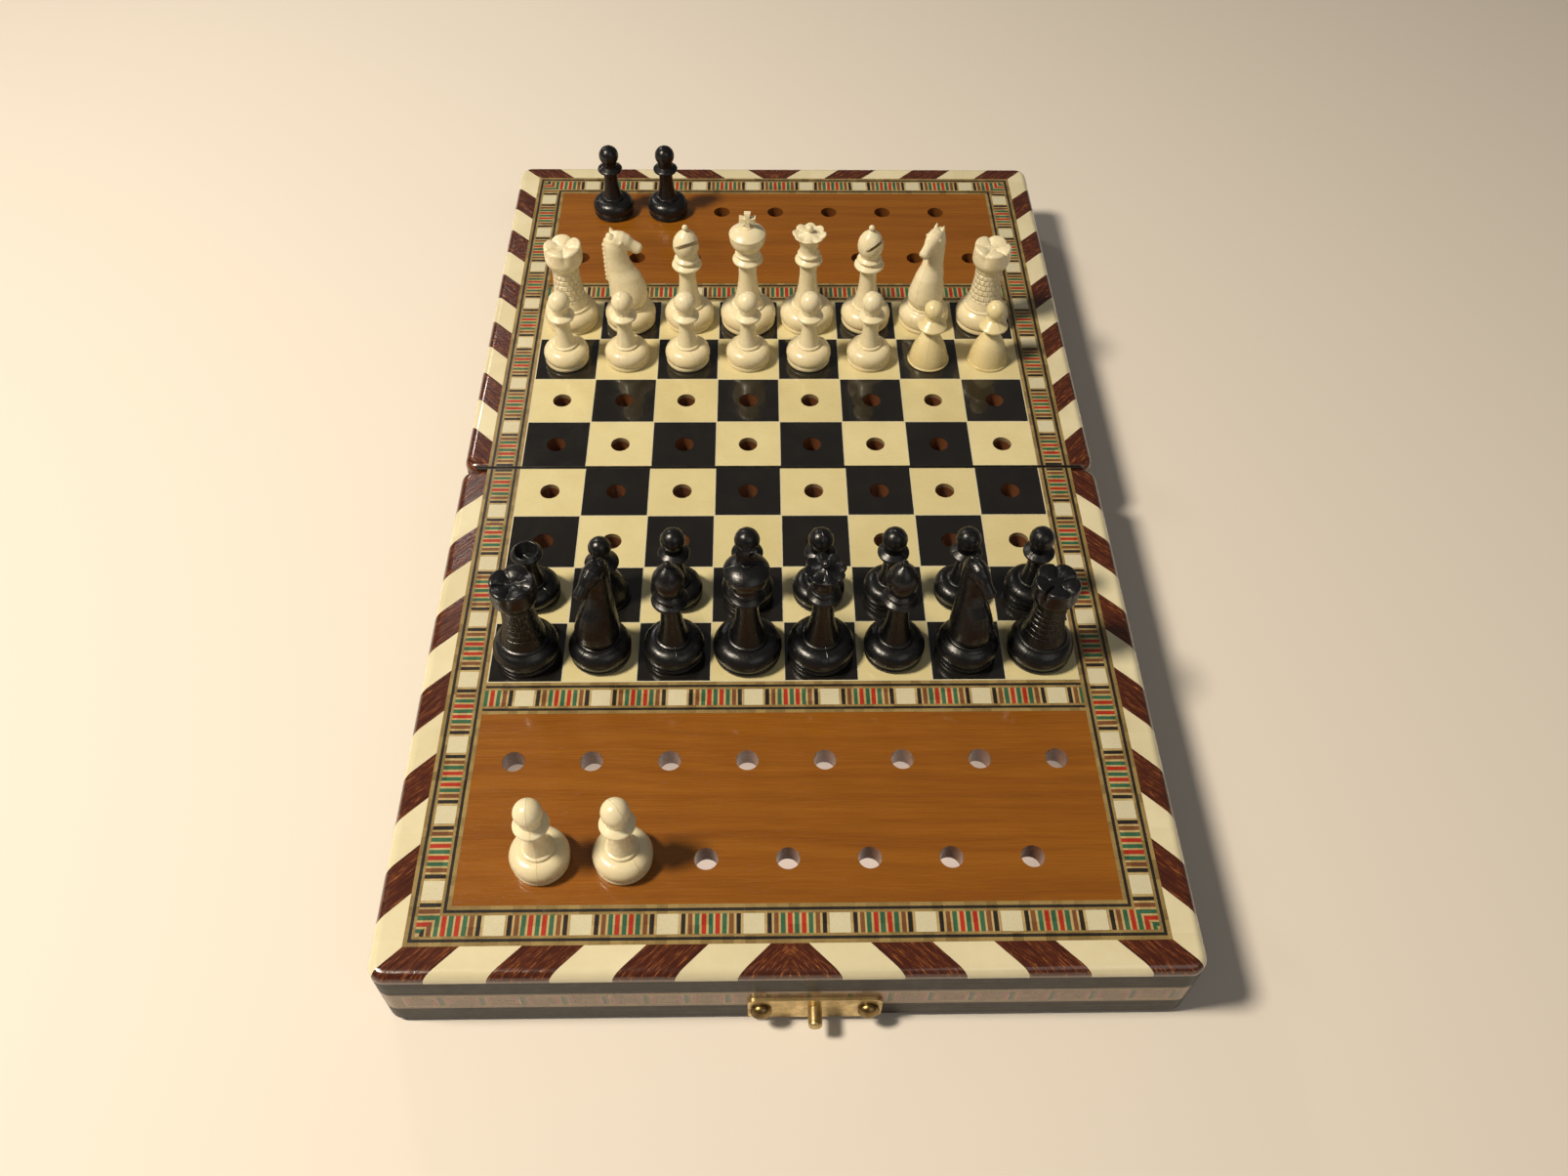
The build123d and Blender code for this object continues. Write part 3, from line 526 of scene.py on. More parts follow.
class Build:
    """Gathers closed shapes, each with its finish, into one mesh piece."""

    def __init__(self):
        self.points = []
        self.faces = []
        self.finishes = []
        self.marks = []
        self.rounds = []

    def add(self, points, faces, finish, smooth=False):
        start = len(self.points)
        if finish not in self.finishes:
            self.finishes.append(finish)
        self.points += [Vector(point) for point in points]
        self.faces += [[start + i for i in face] for face in faces]
        self.marks += [self.finishes.index(finish)] * len(faces)
        self.rounds += [smooth] * len(faces)

    def prism(self, outline, low, high, finish):
        """A closed slab over a plan outline."""
        count = len(outline)
        points = [(x, y, low) for x, y in outline] + [(x, y, high) for x, y in outline]
        faces = [list(range(count))[::-1], list(range(count, 2 * count))]
        faces += [
            [i, (i + 1) % count, count + (i + 1) % count, count + i] for i in range(count)
        ]
        self.add(points, faces, finish)

    def make(self, name, body, at=Vector((0, 0, 0)), turn=0.0):
        """Ends the mesh, in metres at its place, as one piece that rides a body."""
        mesh = bpy.data.meshes.new(name)
        place = Matrix.Translation(at) @ Matrix.Rotation(turn, 4, "Z")
        mesh.from_pydata([(place @ point) * MM for point in self.points], [], self.faces)
        for finish in self.finishes:
            mesh.materials.append(finish)
        mesh.polygons.foreach_set("material_index", self.marks)
        mesh.polygons.foreach_set("use_smooth", self.rounds)
        own = mesh.attributes.new("own", "FLOAT_VECTOR", "POINT")
        own.data.foreach_set("vector", [value for point in self.points for value in point])
        return finished(mesh, name, body)


def finished(mesh, name, body):
    """Turns the faces of a mesh outwards, sharpens its edges and gives it to a body."""
    shape = bmesh.new()
    shape.from_mesh(mesh)
    bmesh.ops.recalc_face_normals(shape, faces=shape.faces)
    for edge in shape.edges:
        if len(edge.link_faces) == 2 and edge.calc_face_angle(0) > radians(38):
            edge.smooth = False
    shape.to_mesh(mesh)
    shape.free()
    made = bpy.data.objects.new(name, mesh)
    bpy.context.scene.collection.objects.link(made)
    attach(made, body)
    return made


def clipped(outline, limits):
    """A plan outline cut by lines; each limit (a, b, c) keeps a*u + b*v <= c."""
    for a, b, c in limits:
        kept = []
        for i, (u, v) in enumerate(outline):
            before_u, before_v = outline[i - 1]
            now = a * u + b * v - c
            before = a * before_u + b * before_v - c
            if now * before < 0:
                share = before / (before - now)
                kept.append((before_u + (u - before_u) * share, before_v + (v - before_v) * share))
            if now <= 0:
                kept.append((u, v))
        outline = kept
        if len(outline) < 3:
            return []
    return outline


def slips(start, end, phase, chance):
    """Rectangles of a band as (finish, u0, u1, v0, v1): long lines, then the mosaic."""
    made = []
    low = 0.0
    for finish, width in LINES:
        for v in (low, BANDING - low - width):
            u = start
            while u < end:
                step = LINE_SHORTEST + chance.random() * LINE_SPREAD
                made.append((finish, u, min(u + step, end), v, v + width))
                u += step
        low += width
    u = phase - BONE_BLOCK / 2
    while u > start:
        u -= PERIOD
    while u < end:
        made.append(("bone", u, u + BONE_BLOCK, MOSAIC_LOW, MOSAIC_HIGH))
        at = u + BONE_BLOCK
        for finish in STRIPES:
            wobble = (chance.random() - 0.5) * STRIPE_WOBBLE
            made.append(("pale", at, at + STRIPE_GAP + wobble, MOSAIC_LOW, MOSAIC_HIGH))
            at += STRIPE_GAP + wobble
            made.append((finish, at, at + STRIPE, MOSAIC_LOW, MOSAIC_HIGH))
            at += STRIPE - wobble
        made.append(("pale", at, u + PERIOD, MOSAIC_LOW, MOSAIC_HIGH))
        u += PERIOD
    return made


def banding_piece(half, sign):
    """All the slips of a half's banding, cut to its mitres, just proud of the lacquer."""
    chance = random.Random(7 + sign)
    build = Build()
    bands = []
    for side in (-1, 1):
        bands.append(
            (
                slips(SEAM, BANDING_Y, PHASE_SIDE, chance),
                ((-1, 0, -SEAM), (1, -1, TRAY_Y)),
                lambda u, v, side=side: (side * (FIELD_X + v), sign * u),
            )
        )
    bands.append(
        (
            slips(-BANDING_X, BANDING_X, PHASE_END, chance),
            ((1, -1, FIELD_X), (-1, -1, FIELD_X)),
            lambda u, v: (u, sign * (TRAY_Y + v)),
        )
    )
    bands.append(
        (
            slips(-FIELD_X, FIELD_X, PHASE_CROSS, chance),
            ((1, 0, FIELD_X), (-1, 0, FIELD_X)),
            lambda u, v: (u, sign * (FIELD_Y + v)),
        )
    )
    for rectangles, limits, place in bands:
        for finish, u0, u1, v0, v1 in rectangles:
            skew = (chance.random() - 0.5) * SLIP_SKEW if u1 - u0 < 1 else 0.0
            left, right = u0 + SLIP_CLEARANCE, u1 - SLIP_CLEARANCE
            outline = clipped(
                [(left, v0), (right, v0), (right + skew, v1), (left + skew, v1)],
                limits,
            )
            if outline:
                high = TOP + PROUD + chance.random() * PROUD_SPREAD
                plan = [place(u, v) for u, v in outline]
                build.prism(plan, TOP - SLIVER_DEPTH, high, VENEERS[finish])
    build.make(f"{half}_banding_slips", f"{half}_half")


def square_joints(half, sign):
    """Thin pale glue lines between the squares, and a black strip along the seam: painted shade of
    the gap between the halves.
    """
    chance = random.Random(31 + sign)
    build = Build()
    width = GLUE_LINE
    for column in range(COLUMNS + 1):
        x = column * SQUARE - FIELD_X
        x = min(max(x, width - FIELD_X), FIELD_X - width)
        high = TOP + 0.010
        outline = [(x - width, sign * SEAM), (x + width, sign * SEAM)]
        outline += [(x + width, sign * FIELD_Y), (x - width, sign * FIELD_Y)]
        build.prism(outline, TOP - INLAY_DEPTH, high, VENEERS["bone"])
    for row in range(1, ROWS_PER_HALF + 1):
        for column in range(COLUMNS):
            x = column * SQUARE - FIELD_X
            y = min(row * SQUARE, FIELD_Y - width)
            high = TOP + 0.006 + chance.random() * 0.003
            outline = [(x, sign * (y - width)), (x + SQUARE, sign * (y - width))]
            outline += [(x + SQUARE, sign * (y + width)), (x, sign * (y + width))]
            build.prism(outline, TOP - INLAY_DEPTH, high, VENEERS["bone"])
    # Black strip along the seam edge of each half: painted shade of the gap between the halves.
    reach = HALF_WIDTH - CORNER_ROUND
    worn = [(-reach, sign * SEAM), (reach, sign * SEAM)]
    worn += [(reach, sign * (SEAM + SEAM_SHADE_WIDTH)), (-reach, sign * (SEAM + SEAM_SHADE_WIDTH))]
    build.prism(worn, TOP - INLAY_DEPTH, TOP + 0.026, VENEERS["black"])
    build.make(f"{half}_square_joints", f"{half}_half")


# Strip of small tiles let into the outside of the walls, in millimetres
STRIP_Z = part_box("far_mosaic_banding")[0].z / MM
STRIP_HEIGHT = 5.3
TILE_PITCH = 6.3
TILE_HEIGHT = 3.3
TILE_DEPTH = 0.7
TILE_PROUD = 0.005
TILE_PARTS = (
    ("tan", 0.0, 3.5),
    ("pink", -2.05, 0.6),
    ("pink", 2.05, 0.6),
    ("line", -2.5, 0.3),
    ("line", 2.5, 0.3),
    ("moss", 2.95, 0.6),
)


class Graph:
    """A Geometry Nodes group, with named inputs, that makes one run of repeated things."""

    def __init__(self, name, inputs):
        self.tree = bpy.data.node_groups.new(name, "GeometryNodeTree")
        for label, kind in inputs:
            self.tree.interface.new_socket(label, in_out="INPUT", socket_type=kind)
        self.tree.interface.new_socket(
            "Geometry", in_out="OUTPUT", socket_type="NodeSocketGeometry"
        )
        self.start = self.tree.nodes.new("NodeGroupInput")
        self.end = self.tree.nodes.new("NodeGroupOutput")

    def node(self, kind, settings=None, **named):
        made = self.tree.nodes.new(kind)
        for key, value in (settings or {}).items():
            setattr(made, key, value)
        for key, value in named.items():
            socket = made.inputs[key.replace("_", " ")]
            for one in value if isinstance(value, list) else [value]:
                if isinstance(one, bpy.types.NodeSocket):
                    self.tree.links.new(one, socket)
                else:
                    socket.default_value = one
        return made.outputs[0]

    def run(self, name, values):
        """Applies the group with these values and gives the mesh that it makes."""
        holder = bpy.data.objects.new(name, bpy.data.meshes.new(name))
        bpy.context.scene.collection.objects.link(holder)
        modifier = holder.modifiers.new("run", "NODES")
        modifier.node_group = self.tree
        for item in self.tree.interface.items_tree:
            if item.in_out == "INPUT" and item.name in values:
                modifier[item.identifier] = values[item.name]
        mesh = evaluated(holder)
        holder.modifiers.clear()
        bpy.data.objects.remove(holder)
        return mesh


def tile_graph():
    """Tiles of the wall strip: boxes of the tile's parts, instanced on a line of points."""
    graph = Graph(
        "wall strip",
        (
            ("Start", "NodeSocketVector"),
            ("Step", "NodeSocketVector"),
            ("Count", "NodeSocketInt"),
            ("Turn", "NodeSocketFloat"),
        ),
    )
    boxes = []
    for finish, along, length in TILE_PARTS:
        size = ((length - 0.04) * MM, TILE_DEPTH * MM, TILE_HEIGHT * MM)
        cube = graph.node("GeometryNodeMeshCube", Size=size)
        moved = graph.node(
            "GeometryNodeTransform", Geometry=cube, Translation=(along * MM, 0.0, 0.0)
        )
        boxes.append(
            graph.node("GeometryNodeSetMaterial", Geometry=moved, Material=VENEERS[finish])
        )
    for height in (-TILE_HEIGHT / 2 - 0.2, TILE_HEIGHT / 2 + 0.2):
        size = (TILE_PITCH * MM, TILE_DEPTH * MM, 0.28 * MM)
        cube = graph.node("GeometryNodeMeshCube", Size=size)
        moved = graph.node(
            "GeometryNodeTransform", Geometry=cube, Translation=(0.45 * MM, 0.0, height * MM)
        )
        boxes.append(
            graph.node("GeometryNodeSetMaterial", Geometry=moved, Material=VENEERS["line"])
        )
    tile = graph.node("GeometryNodeJoinGeometry", Geometry=boxes)
    line = graph.node(
        "GeometryNodeMeshLine",
        {"mode": "OFFSET"},
        Count=graph.start.outputs["Count"],
        Start_Location=graph.start.outputs["Start"],
        Offset=graph.start.outputs["Step"],
    )
    turn = graph.node("ShaderNodeCombineXYZ", Z=graph.start.outputs["Turn"])
    placed = graph.node("GeometryNodeInstanceOnPoints", Points=line, Instance=tile, Rotation=turn)
    real = graph.node("GeometryNodeRealizeInstances", Geometry=placed)
    graph.tree.links.new(real, graph.end.inputs["Geometry"])
    return graph


def wall_tiles():
    """The tiles of both halves: along each side, and along each end."""
    graph = tile_graph()
    z = STRIP_Z + STRIP_HEIGHT / 2
    inset = TILE_DEPTH / 2 - TILE_PROUD
    side_count = int((HALF_LENGTH - CORNER_ROUND - SEAM) / TILE_PITCH)
    end_count = int(2 * (HALF_WIDTH - CORNER_ROUND) / TILE_PITCH)
    end_start = -(end_count - 1) * TILE_PITCH / 2
    side_start = SEAM + TILE_PITCH / 2 + 0.3
    for half, sign in HALVES:
        y, step = sign * side_start, sign * TILE_PITCH
        end_y = sign * (HALF_LENGTH - inset)
        runs = (
            ("right", HALF_WIDTH - inset, y, 0.0, step, side_count, pi / 2),
            ("left", inset - HALF_WIDTH, y, 0.0, step, side_count, -pi / 2),
            ("end", end_start, end_y, TILE_PITCH, 0.0, end_count, 0.0),
        )
        for where, x, y, step_x, step_y, count, turn in runs:
            values = {
                "Start": (x * MM, y * MM, z * MM),
                "Step": (step_x * MM, step_y * MM, 0.0),
                "Count": count,
                "Turn": turn,
            }
            name = f"{half}_wall_tiles_{where}"
            made = finished(graph.run(name, values), name, f"{half}_half")


# Men: outlines as steps of (radius, height); a pair of points is an arc through the first
SEGMENTS = 72
FOOT_CLEARANCE = 0.05
PEG = ((0.0, -5.45), (1.6, -5.45), (1.78, -5.2), (1.78, 0.0))


def arc_points(start, via, end, count=9):
    """Points along the arc from a start through a point to an end, the start left out."""
    (ax, ay), (bx, by), (cx, cy) = start, via, end
    d = 2 * (ax * (by - cy) + bx * (cy - ay) + cx * (ay - by))
    aa, bb, cc = ax * ax + ay * ay, bx * bx + by * by, cx * cx + cy * cy
    ux = (aa * (by - cy) + bb * (cy - ay) + cc * (ay - by)) / d
    uy = (aa * (cx - bx) + bb * (ax - cx) + cc * (bx - ax)) / d
    radius = sqrt((ax - ux) ** 2 + (ay - uy) ** 2)
    first, middle, last = (atan2(y - uy, x - ux) for x, y in (start, via, end))
    turn = (last - first) % tau
    if (middle - first) % tau > turn:
        turn -= tau
    return [
        (ux + radius * cos(first + turn * i / count), uy + radius * sin(first + turn * i / count))
        for i in range(1, count + 1)
    ]


def outline_of(steps):
    """Plain points of an outline, its arcs divided."""
    at = steps[0]
    points = [at]
    for step in steps[1:]:
        if isinstance(step[0], tuple):
            points += arc_points(at, *step)
            at = step[-1]
        else:
            points.append(step)
            at = step
    return points


def foot(base, neck, top):
    """Peg, rim, bulge and bead of a man's foot."""
    bead = neck + 0.35
    return [
        *PEG,
        (base - 0.5, 0.0),
        (base - 0.28, 0.15),
        (base - 0.18, 0.5),
        (base - 0.24, 0.85),
        (base - 0.38, 1.0),
        ((base - 0.02, 0.52 * top), (bead + 0.06, top - 0.02)),
        (bead, top + 0.08),
        ((bead + 0.08, top + 0.3), (bead - 0.05, top + 0.52)),
        (neck, top + 0.62),
    ]


def stem(neck, top, radius, end_z):
    """Hollow curve from the foot up to the collar."""
    start_z = top + 0.6
    return [((0.7 * radius + 0.3 * neck, (2 * start_z + end_z) / 3), (radius, end_z))]


def collar(radius, neck, z):
    """Rounded collar and the bead above it."""
    bead = 0.83 * radius
    return [
        (radius - 0.35, z - 0.42),
        ((radius, z), (radius - 0.3, z + 0.4)),
        (neck + 0.15, z + 0.95),
        (bead - 0.2, z + 1.15),
        ((bead, z + 1.5), (bead - 0.25, z + 1.85)),
        (neck, z + 2.25),
    ]


def ball(radius, neck, top):
    """Round head on a neck, up to the axis."""
    middle = top - radius
    return [(neck, middle - sqrt(radius**2 - neck**2)), ((radius, middle), (0.0, top))]


def pawn_body():
    """A pawn from its peg to the edge of its collar."""
    return [
        *foot(4.8, 2.2, 4.2),
        *stem(2.2, 4.2, 1.6, 11.0),
        (2.5, 11.45),
        ((2.84, 11.8), (2.6, 12.2)),
    ]


OUTLINES = {
    "pawn": [*pawn_body(), (1.75, 12.7), *ball(2.27, 1.72, 17.6)],
    "cup_pawn": [
        *pawn_body(),
        (2.3, 12.65),
        ((2.15, 12.7), (1.95, 12.55)),
        (1.5, 11.9),
        (0.9, 10.9),
        (0.0, 10.8),
    ],
    "cone_pawn": [
        *PEG,
        (4.35, 0.0),
        ((4.5, 0.2), (4.4, 0.45)),
        (4.25, 0.5),
        ((3.5, 3.5), (1.3, 7.5)),
        (2.9, 9.0),
        ((3.1, 9.3), (2.9, 9.6)),
        (1.35, 11.0),
        *ball(2.05, 1.3, 15.4),
    ],
    "rook": [
        *foot(5.85, 4.0, 4.6),
        *stem(4.0, 4.6, 2.95, 14.8),
        (3.1, 15.0),
        ((3.75, 15.9), (4.02, 17.2)),
        (4.05, 17.8),
        (4.05, 18.6),
        (4.0, 19.3),
        ((3.85, 19.85), (3.3, 19.98)),
        (2.7, 19.98),
        (2.1, 19.9),
        (1.6, 19.6),
        (0.9, 19.45),
        (0.0, 19.42),
    ],
    "bishop": [
        *foot(5.45, 2.8, 4.5),
        *stem(2.8, 4.5, 1.85, 14.3),
        *collar(3.2, 2.0, 15.1),
        (2.0, 17.7),
        ((2.75, 20.3), (0.5, 23.55)),
        *ball(0.65, 0.33, 24.9),
    ],
    "queen": [
        *foot(5.95, 3.1, 4.6),
        *stem(3.1, 4.6, 1.9, 15.6),
        *collar(2.95, 1.9, 16.4),
        (1.9, 19.2),
        ((2.25, 21.1), (3.2, 22.5)),
        (3.5, 22.8),
        ((3.62, 23.0), (3.45, 23.15)),
        (3.0, 23.1),
        (2.6, 22.95),
        (1.9, 22.9),
        (1.0, 23.15),
        *ball(0.75, 0.45, 24.8),
    ],
    "king": [
        *foot(6.1, 3.2, 4.6),
        *stem(3.2, 4.6, 2.0, 15.7),
        *collar(3.25, 2.3, 16.5),
        (2.3, 19.2),
        ((3.33, 20.4), (3.82, 22.6)),
        ((3.88, 22.85), (3.75, 23.1)),
        ((2.4, 24.05), (1.0, 24.35)),
        ((0.98, 24.5), (0.7, 24.62)),
        (0.0, 24.65),
    ],
}
KNIGHT_FOOT = [*foot(5.55, 3.4, 4.6), (0.0, 5.3)]


def rook_crown(radius, height, angle):
    """Presses five rounded grooves into the rook's crown."""
    if height < 16.5:
        return radius, height
    lobe = abs(cos(2.5 * angle)) ** 0.32
    rise = min((height - 16.5) / 2.2, 1.0)
    groove = (1 - lobe) * rise
    drop = 0.95 * groove if height > 18.5 and radius > 1.0 else 0.0
    return radius * (1.0 - 0.16 * groove), height - drop


def queen_crown(radius, height, angle):
    """Draws the queen's rim out into eight rounded points."""
    if height < 21.4 or radius < 2.0:
        return radius, height
    lobe = abs(cos(4 * angle)) ** 0.6
    share = min((height - 21.4) / 1.3, 1.0)
    return radius * (1 - 0.17 * (1 - lobe) * share), height - 0.5 * (1 - lobe) * share


CROWNS = {"rook": rook_crown, "queen": queen_crown}


def between_rings(count, sides):
    """Quads that join each ring of points to the next."""
    return [
        [a + i, a + (i + 1) % sides, a + sides + (i + 1) % sides, a + sides + i]
        for a in range(0, (count - 1) * sides, sides)
        for i in range(sides)
    ]


def lathe(build, steps, finish, crown=None, segments=SEGMENTS):
    """A closed turned shape from an outline that starts and ends on the axis."""
    outline = outline_of(steps)
    rings = outline[1:-1]
    points = []
    for radius, height in rings:
        for i in range(segments):
            angle = tau * i / segments
            r, z = crown(radius, height, angle) if crown else (radius, height)
            points.append((r * cos(angle), r * sin(angle), z))
    points += [(0, 0, outline[0][1]), (0, 0, outline[-1][1])]
    low, high = len(points) - 2, len(points) - 1
    faces = between_rings(len(rings), segments)
    last = (len(rings) - 1) * segments
    for i in range(segments):
        j = (i + 1) % segments
        faces.append([low, j, i])
        faces.append([high, last + i, last + j])
    build.add(points, faces, finish, smooth=True)


# Domed heads of the catch plate's nails
NAIL_RADIUS = 1.7
NAIL_RISE = 1.25
NAIL_OVERLAP = 0.55
NAIL_SIDES = 32
NAIL_RINGS = 8


def nail_heads():
    """Tarnished domes of the two nails that hold the catch plate."""
    low, high = (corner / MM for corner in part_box("near_latch_nails"))
    middle_z = (low.z + high.z) / 2
    shank = (high.z - low.z) / 2
    root = low.y + NAIL_OVERLAP
    build = Build()
    for x in (low.x + shank, high.x - shank):
        points = []
        for ring in range(NAIL_RINGS):
            tilt = pi / 2 * ring / NAIL_RINGS
            for i in range(NAIL_SIDES):
                angle = tau * i / NAIL_SIDES
                reach = NAIL_RADIUS * cos(tilt)
                y = root - NAIL_RISE * sin(tilt)
                points.append((x + reach * cos(angle), y, middle_z + reach * sin(angle)))
        points.append((x, root - NAIL_RISE, middle_z))
        tip = NAIL_RINGS * NAIL_SIDES
        last = tip - NAIL_SIDES
        faces = [list(range(NAIL_SIDES)), *between_rings(NAIL_RINGS, NAIL_SIDES)]
        faces += [[last + i, last + (i + 1) % NAIL_SIDES, tip] for i in range(NAIL_SIDES)]
        build.add(points, faces, BRASS_DARK, smooth=True)
    build.make("near_nail_heads", "near_half")


def cross(build, finish):
    """The king's cross pattee, with its edges taken off."""
    reach, flare, waist, thick, middle, root = 1.7, 0.68, 0.38, 0.62, 26.3, 24.3
    plan = [
        (-flare, middle + reach),
        (flare, middle + reach),
        (waist, middle + waist),
        (reach, middle + flare),
        (reach, middle - flare),
        (waist, middle - waist),
        (flare, root),
        (-flare, root),
        (-waist, middle - waist),
        (-reach, middle - flare),
        (-reach, middle + flare),
        (-waist, middle + waist),
    ]
    count = len(plan)
    layers = ((-thick, 0.86), (-thick + 0.15, 1.0), (thick - 0.15, 1.0), (thick, 0.86))
    points = []
    for y, share in layers:
        for x, z in plan:
            points.append((x * share, y, middle + (z - middle) * (share if z > middle else 1)))
    faces = [list(range(count)), list(range(3 * count, 4 * count))[::-1]]
    faces += between_rings(len(layers), count)
    build.add(points, faces, finish, smooth=True)


def loft(stations, segments=28):
    """A closed shape through ellipses (centre x, z, tilt, half depth, half width)."""
    points = []
    for x, z, tilt, deep, wide in stations:
        for i in range(segments):
            angle = tau * i / segments
            along = deep * cos(angle)
            points.append((x + along * cos(tilt), wide * sin(angle), z + along * sin(tilt)))
    faces = between_rings(len(stations), segments)
    last = (len(stations) - 1) * segments
    faces += [list(range(segments))[::-1], [last + i for i in range(segments)]]
    return points, faces


KNIGHT_BODY = (
    (5.0, -3.3, 3.3, 3.3),
    (5.8, -3.8, 3.85, 3.7),
    (7.0, -4.0, 4.15, 3.85),
    (8.6, -4.1, 4.1, 3.65),
    (10.4, -4.1, 3.7, 3.2),
    (12.4, -4.1, 3.0, 2.75),
    (14.4, -4.15, 1.7, 2.15),
    (16.2, -4.2, 0.9, 1.95),
    (18.0, -4.25, 0.6, 1.85),
    (20.0, -4.2, 0.5, 1.8),
    (21.6, -3.8, 0.1, 1.55),
    (22.7, -3.0, -0.9, 0.8),
)
KNIGHT_HEAD = (
    (-3.0, 21.9, 1.15, 1.0, 0.9),
    (-2.0, 21.7, 1.15, 1.75, 1.55),
    (-0.8, 21.2, 1.1, 2.0, 1.75),
    (0.4, 20.6, 1.05, 1.85, 1.5),
    (1.3, 20.0, 1.0, 1.4, 1.15),
    (2.1, 19.5, 1.0, 1.35, 1.1),
    (2.9, 19.0, 0.95, 1.3, 1.15),
    (3.4, 18.7, 0.95, 0.8, 0.8),
)
KNIGHT_EAR = (
    (-2.3, 22.3, 0.2, 0.65, 0.5),
    (-2.5, 23.1, 0.2, 0.45, 0.35),
    (-2.7, 23.75, 0.2, 0.12, 0.1),
)
EAR_SPREAD = 0.85
EYE_AND_NOSTRIL = ((-0.5, 1.62, 21.5, 0.38), (2.5, 0.75, 19.4, 0.4))
MANE_TUFTS = 11
MANE_FOOT = 11.5
MANE_STEP = 1.08
NECK_BACK = -4.15
POLL_Z = 20.5
POLL_LEAN = 0.55
VOXEL = 0.16


def bead_stations(x, z, tilt, deep, wide, angles):
    """Stations of a small egg for loft, at steps of angle from pole to pole."""
    return [(x, z + deep * sin(t), tilt, deep * cos(t), wide * cos(t)) for t in angles]


def horse_parts():
    """Body, head, ears, eyes, nostrils and mane, still as separate closed shapes."""
    build = Build()
    body = [
        ((back + front) / 2, z, 0.0, (front - back) / 2, wide)
        for z, back, front, wide in KNIGHT_BODY
    ]
    build.add(*loft(body), None)
    build.add(*loft(KNIGHT_HEAD), None)
    for side in (-1, 1):
        points, faces = loft(KNIGHT_EAR, 12)
        build.add([(x, y + side * EAR_SPREAD, z) for x, y, z in points], faces, None)
        for x, y, z, radius in EYE_AND_NOSTRIL:
            bead = bead_stations(x, z, 0.0, radius, radius, (-1.3, -0.8, -0.3, 0.3, 0.8, 1.3))
            points, faces = loft(bead, 12)
            build.add([(px, py + side * y, pz) for px, py, pz in points], faces, None)
    for i in range(MANE_TUFTS):
        z = MANE_FOOT + i * MANE_STEP
        x = NECK_BACK if z < POLL_Z else NECK_BACK + (z - POLL_Z) * POLL_LEAN
        tuft = bead_stations(x, z, 0.35, 0.62, 0.5, (-1.4, -0.9, -0.3, 0.3, 0.9, 1.4))
        build.add(*loft(tuft, 12), None)
    return build


def horse():
    """Points and faces of a knight above its foot, its parts run together and softened."""
    build = horse_parts()
    mesh = bpy.data.meshes.new("horse")
    mesh.from_pydata([point * MM for point in build.points], [], build.faces)
    shape = bmesh.new()
    shape.from_mesh(mesh)
    bmesh.ops.recalc_face_normals(shape, faces=shape.faces)
    shape.to_mesh(mesh)
    shape.free()
    holder = bpy.data.objects.new("horse", mesh)
    bpy.context.scene.collection.objects.link(holder)
    remesh = holder.modifiers.new("skin", "REMESH")
    remesh.mode = "VOXEL"
    remesh.voxel_size = VOXEL * MM
    smooth = holder.modifiers.new("soften", "SMOOTH")
    smooth.factor = 0.5
    smooth.iterations = 4
    skin = evaluated(holder)
    holder.modifiers.clear()
    bpy.data.objects.remove(holder)
    points = [vertex.co / MM for vertex in skin.vertices]
    faces = [list(face.vertices) for face in skin.polygons]
    return points, faces


FACING = {
    "black_knight_1": -125,
    "black_knight_2": -60,
    "white_knight_1": 0,
    "white_knight_2": -128,
    "white_bishop_1": -62,
    "white_bishop_2": -28,
    "black_bishop_1": 100,
    "black_bishop_2": 70,
    "black_rook_1": 10,
    "black_rook_2": 50,
    "white_rook_1": 28,
    "white_rook_2": -12,
    "black_king": 4,
    "white_king": -3,
}
SLOT_SIZE = (4.6, 6.0, 0.7)
SLOT_AT = (2.2, 0.0, 21.5)
SLOT_LEAN = -38
MOULDS = {
    "black_pawn_1": "cup_pawn",
    "black_pawn_2": "cone_pawn",
    "white_pawn_7": "cone_pawn",
    "white_pawn_8": "cone_pawn",
}


def mitre_slot(made, at, turn):
    """Cuts the bishop's slanted slot with a thin box, inwards and down from the front."""
    mesh = bpy.data.meshes.new("cutter")
    shape = bmesh.new()
    bmesh.ops.create_cube(shape, size=1.0)
    scale = Matrix.Diagonal([size * MM for size in SLOT_SIZE] + [1.0])
    lean = Matrix.Rotation(radians(SLOT_LEAN), 4, "Y")
    place = Matrix.Translation(at * MM) @ Matrix.Rotation(turn, 4, "Z")
    shift = Matrix.Translation([value * MM for value in SLOT_AT])
    bmesh.ops.transform(shape, matrix=place @ shift @ lean @ scale, verts=shape.verts)
    shape.to_mesh(mesh)
    shape.free()
    cutter = bpy.data.objects.new("cutter", mesh)
    bpy.context.scene.collection.objects.link(cutter)
    cut = made.modifiers.new("slot", "BOOLEAN")
    cut.operation = "DIFFERENCE"
    cut.solver = "EXACT"
    cut.object = cutter
    slotted = evaluated(made)
    made.modifiers.clear()
    made.data = slotted
    bpy.data.objects.remove(cutter)


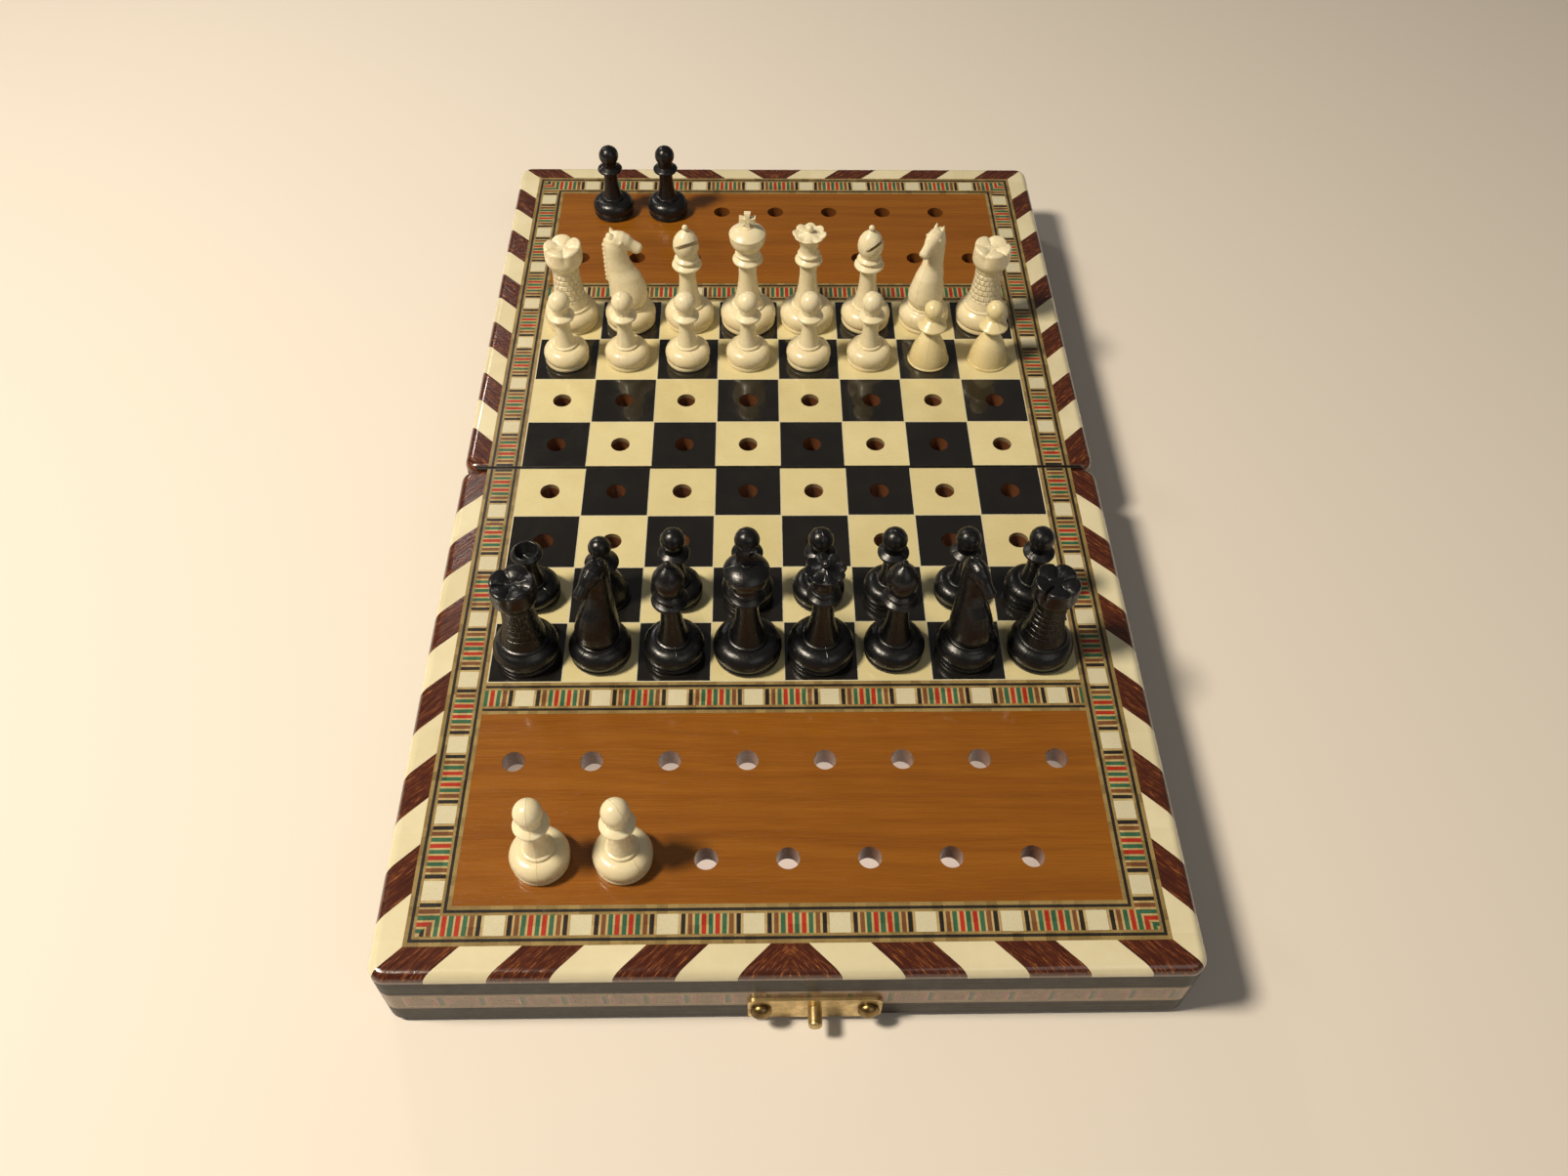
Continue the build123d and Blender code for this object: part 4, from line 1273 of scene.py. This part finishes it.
def man(name, horse_shape):
    """One man at its place, turned as it stands, in the plastic of its colour and mould."""
    colour, kind = name.split("_")[:2]
    kind = "pawn" if "pawn" in name else kind
    kind = MOULDS.get(name, kind)
    if kind == "rook":
        finish = BLACK_ROOK if colour == "black" else IVORY_ROOK
    else:
        finish = BLACK if colour == "black" else IVORY_OLD if kind == "cone_pawn" else IVORY
    low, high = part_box(name)
    at = Vector(((low.x + high.x) / 2 / MM, (low.y + high.y) / 2 / MM, TOP + FOOT_CLEARANCE))
    any_turn = sum(ord(letter) for letter in name) * 37 % 360
    turn = radians(FACING.get(name, any_turn))
    build = Build()
    if kind == "knight":
        lathe(build, KNIGHT_FOOT, finish)
        build.add(*horse_shape, finish, smooth=True)
    else:
        lathe(build, OUTLINES[kind], finish, CROWNS.get(kind))
    if kind == "king":
        cross(build, finish)
    made = build.make(f"{name}_moulded", name, at, turn)
    if kind == "bishop":
        mitre_slot(made, at, turn)
    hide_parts(name)
    "black_plastic" if colour == "black" else "ivory_plastic"


for half, sign in HALVES:
    banding_piece(half, sign)
    square_joints(half, sign)
nail_heads()
wall_tiles()
horse_shape = horse()
for name in MEN:
    man(name, horse_shape)

# Camera at the photograph's angle
LENS = 29.08
CAMERA_AT = (-0.36, -13.677, 14.125)
CAMERA_RIGHT = (0.99977, -0.01619, 0.01374)
CAMERA_DOWN = (-0.00408, -0.78118, -0.62429)
CAMERA_AHEAD = (0.02084, 0.62409, -0.78107)


def camera():
    """The camera, in squares from the middle of the field's top."""
    data = bpy.data.cameras.new("camera")
    data.lens = LENS
    data.sensor_fit = "HORIZONTAL"
    data.sensor_width = 36.0
    data.clip_start = 0.01
    made = bpy.data.objects.new("camera", data)
    axes = (CAMERA_RIGHT, CAMERA_DOWN, CAMERA_AHEAD)
    right, down, ahead = (Vector(axis).normalized() for axis in axes)
    turn = Matrix((right, -down, -ahead)).transposed().to_4x4()
    at = Vector(CAMERA_AT) * SQUARE * MM + Vector((0, 0, TOP * MM))
    made.matrix_world = Matrix.Translation(at) @ turn
    bpy.context.scene.collection.objects.link(made)
    bpy.context.scene.camera = made


def lamp(name, at, aim, size, power, colour):
    """One soft lamp, in metres and watts."""
    data = bpy.data.lights.new(name, "AREA")
    data.shape = "ELLIPSE"
    data.size, data.size_y = size
    data.energy = power
    data.color = colour
    made = bpy.data.objects.new(name, data)
    made.location = at
    made.rotation_euler = (Vector(aim) - Vector(at)).to_track_quat("-Z", "Y").to_euler()
    bpy.context.scene.collection.objects.link(made)


# Lamps, in metres and watts: name, place, aim, size, power, colour. The hollow lamp lies inside
# the near half, under its tray, and lights the floor that shows through the tray's holes.
LAMPS = (
    ("key", (-0.40, -0.12, 0.60), (0, 0, 0), (0.13, 0.13), 5.7, (1.0, 0.88, 0.71)),
    ("fill", (0.50, -0.80, 0.85), (0, 0, 0), (0.8, 0.8), 1.5, (1.0, 0.93, 0.84)),
    ("edge", (-0.22, 0.34, 0.30), (-0.02, -0.08, 0), (0.05, 0.05), 0.2, (1.0, 0.95, 0.88)),
    ("hollow", (0, -0.071, 0.0122), (0, -0.071, 0), (0.125, 0.03), 0.011, (1.0, 0.88, 0.80)),
)
ROOM_LIGHT = 0.09
FLOOR_REACH = 3.0


def studio():
    """Floor, lamps and an even room light."""
    mesh = bpy.data.meshes.new("floor")
    corners = ((-1, -1), (1, -1), (1, 1), (-1, 1))
    points = [(x * FLOOR_REACH, y * FLOOR_REACH, 0) for x, y in corners]
    mesh.from_pydata(points, [], [(0, 1, 2, 3)])
    floor = bpy.data.objects.new("floor", mesh)
    bpy.context.scene.collection.objects.link(floor)
    mesh.materials.append(floor_finish())
    for settings in LAMPS:
        lamp(*settings)
    world = bpy.data.worlds.new("world")
    bpy.context.scene.world = world
    world.use_nodes = True
    background = world.node_tree.nodes["Background"]
    background.inputs[0].default_value = (0.95, 0.92, 0.88, 1.0)
    background.inputs[1].default_value = ROOM_LIGHT
    bpy.context.scene.view_settings.view_transform = "Standard"


camera()
studio()
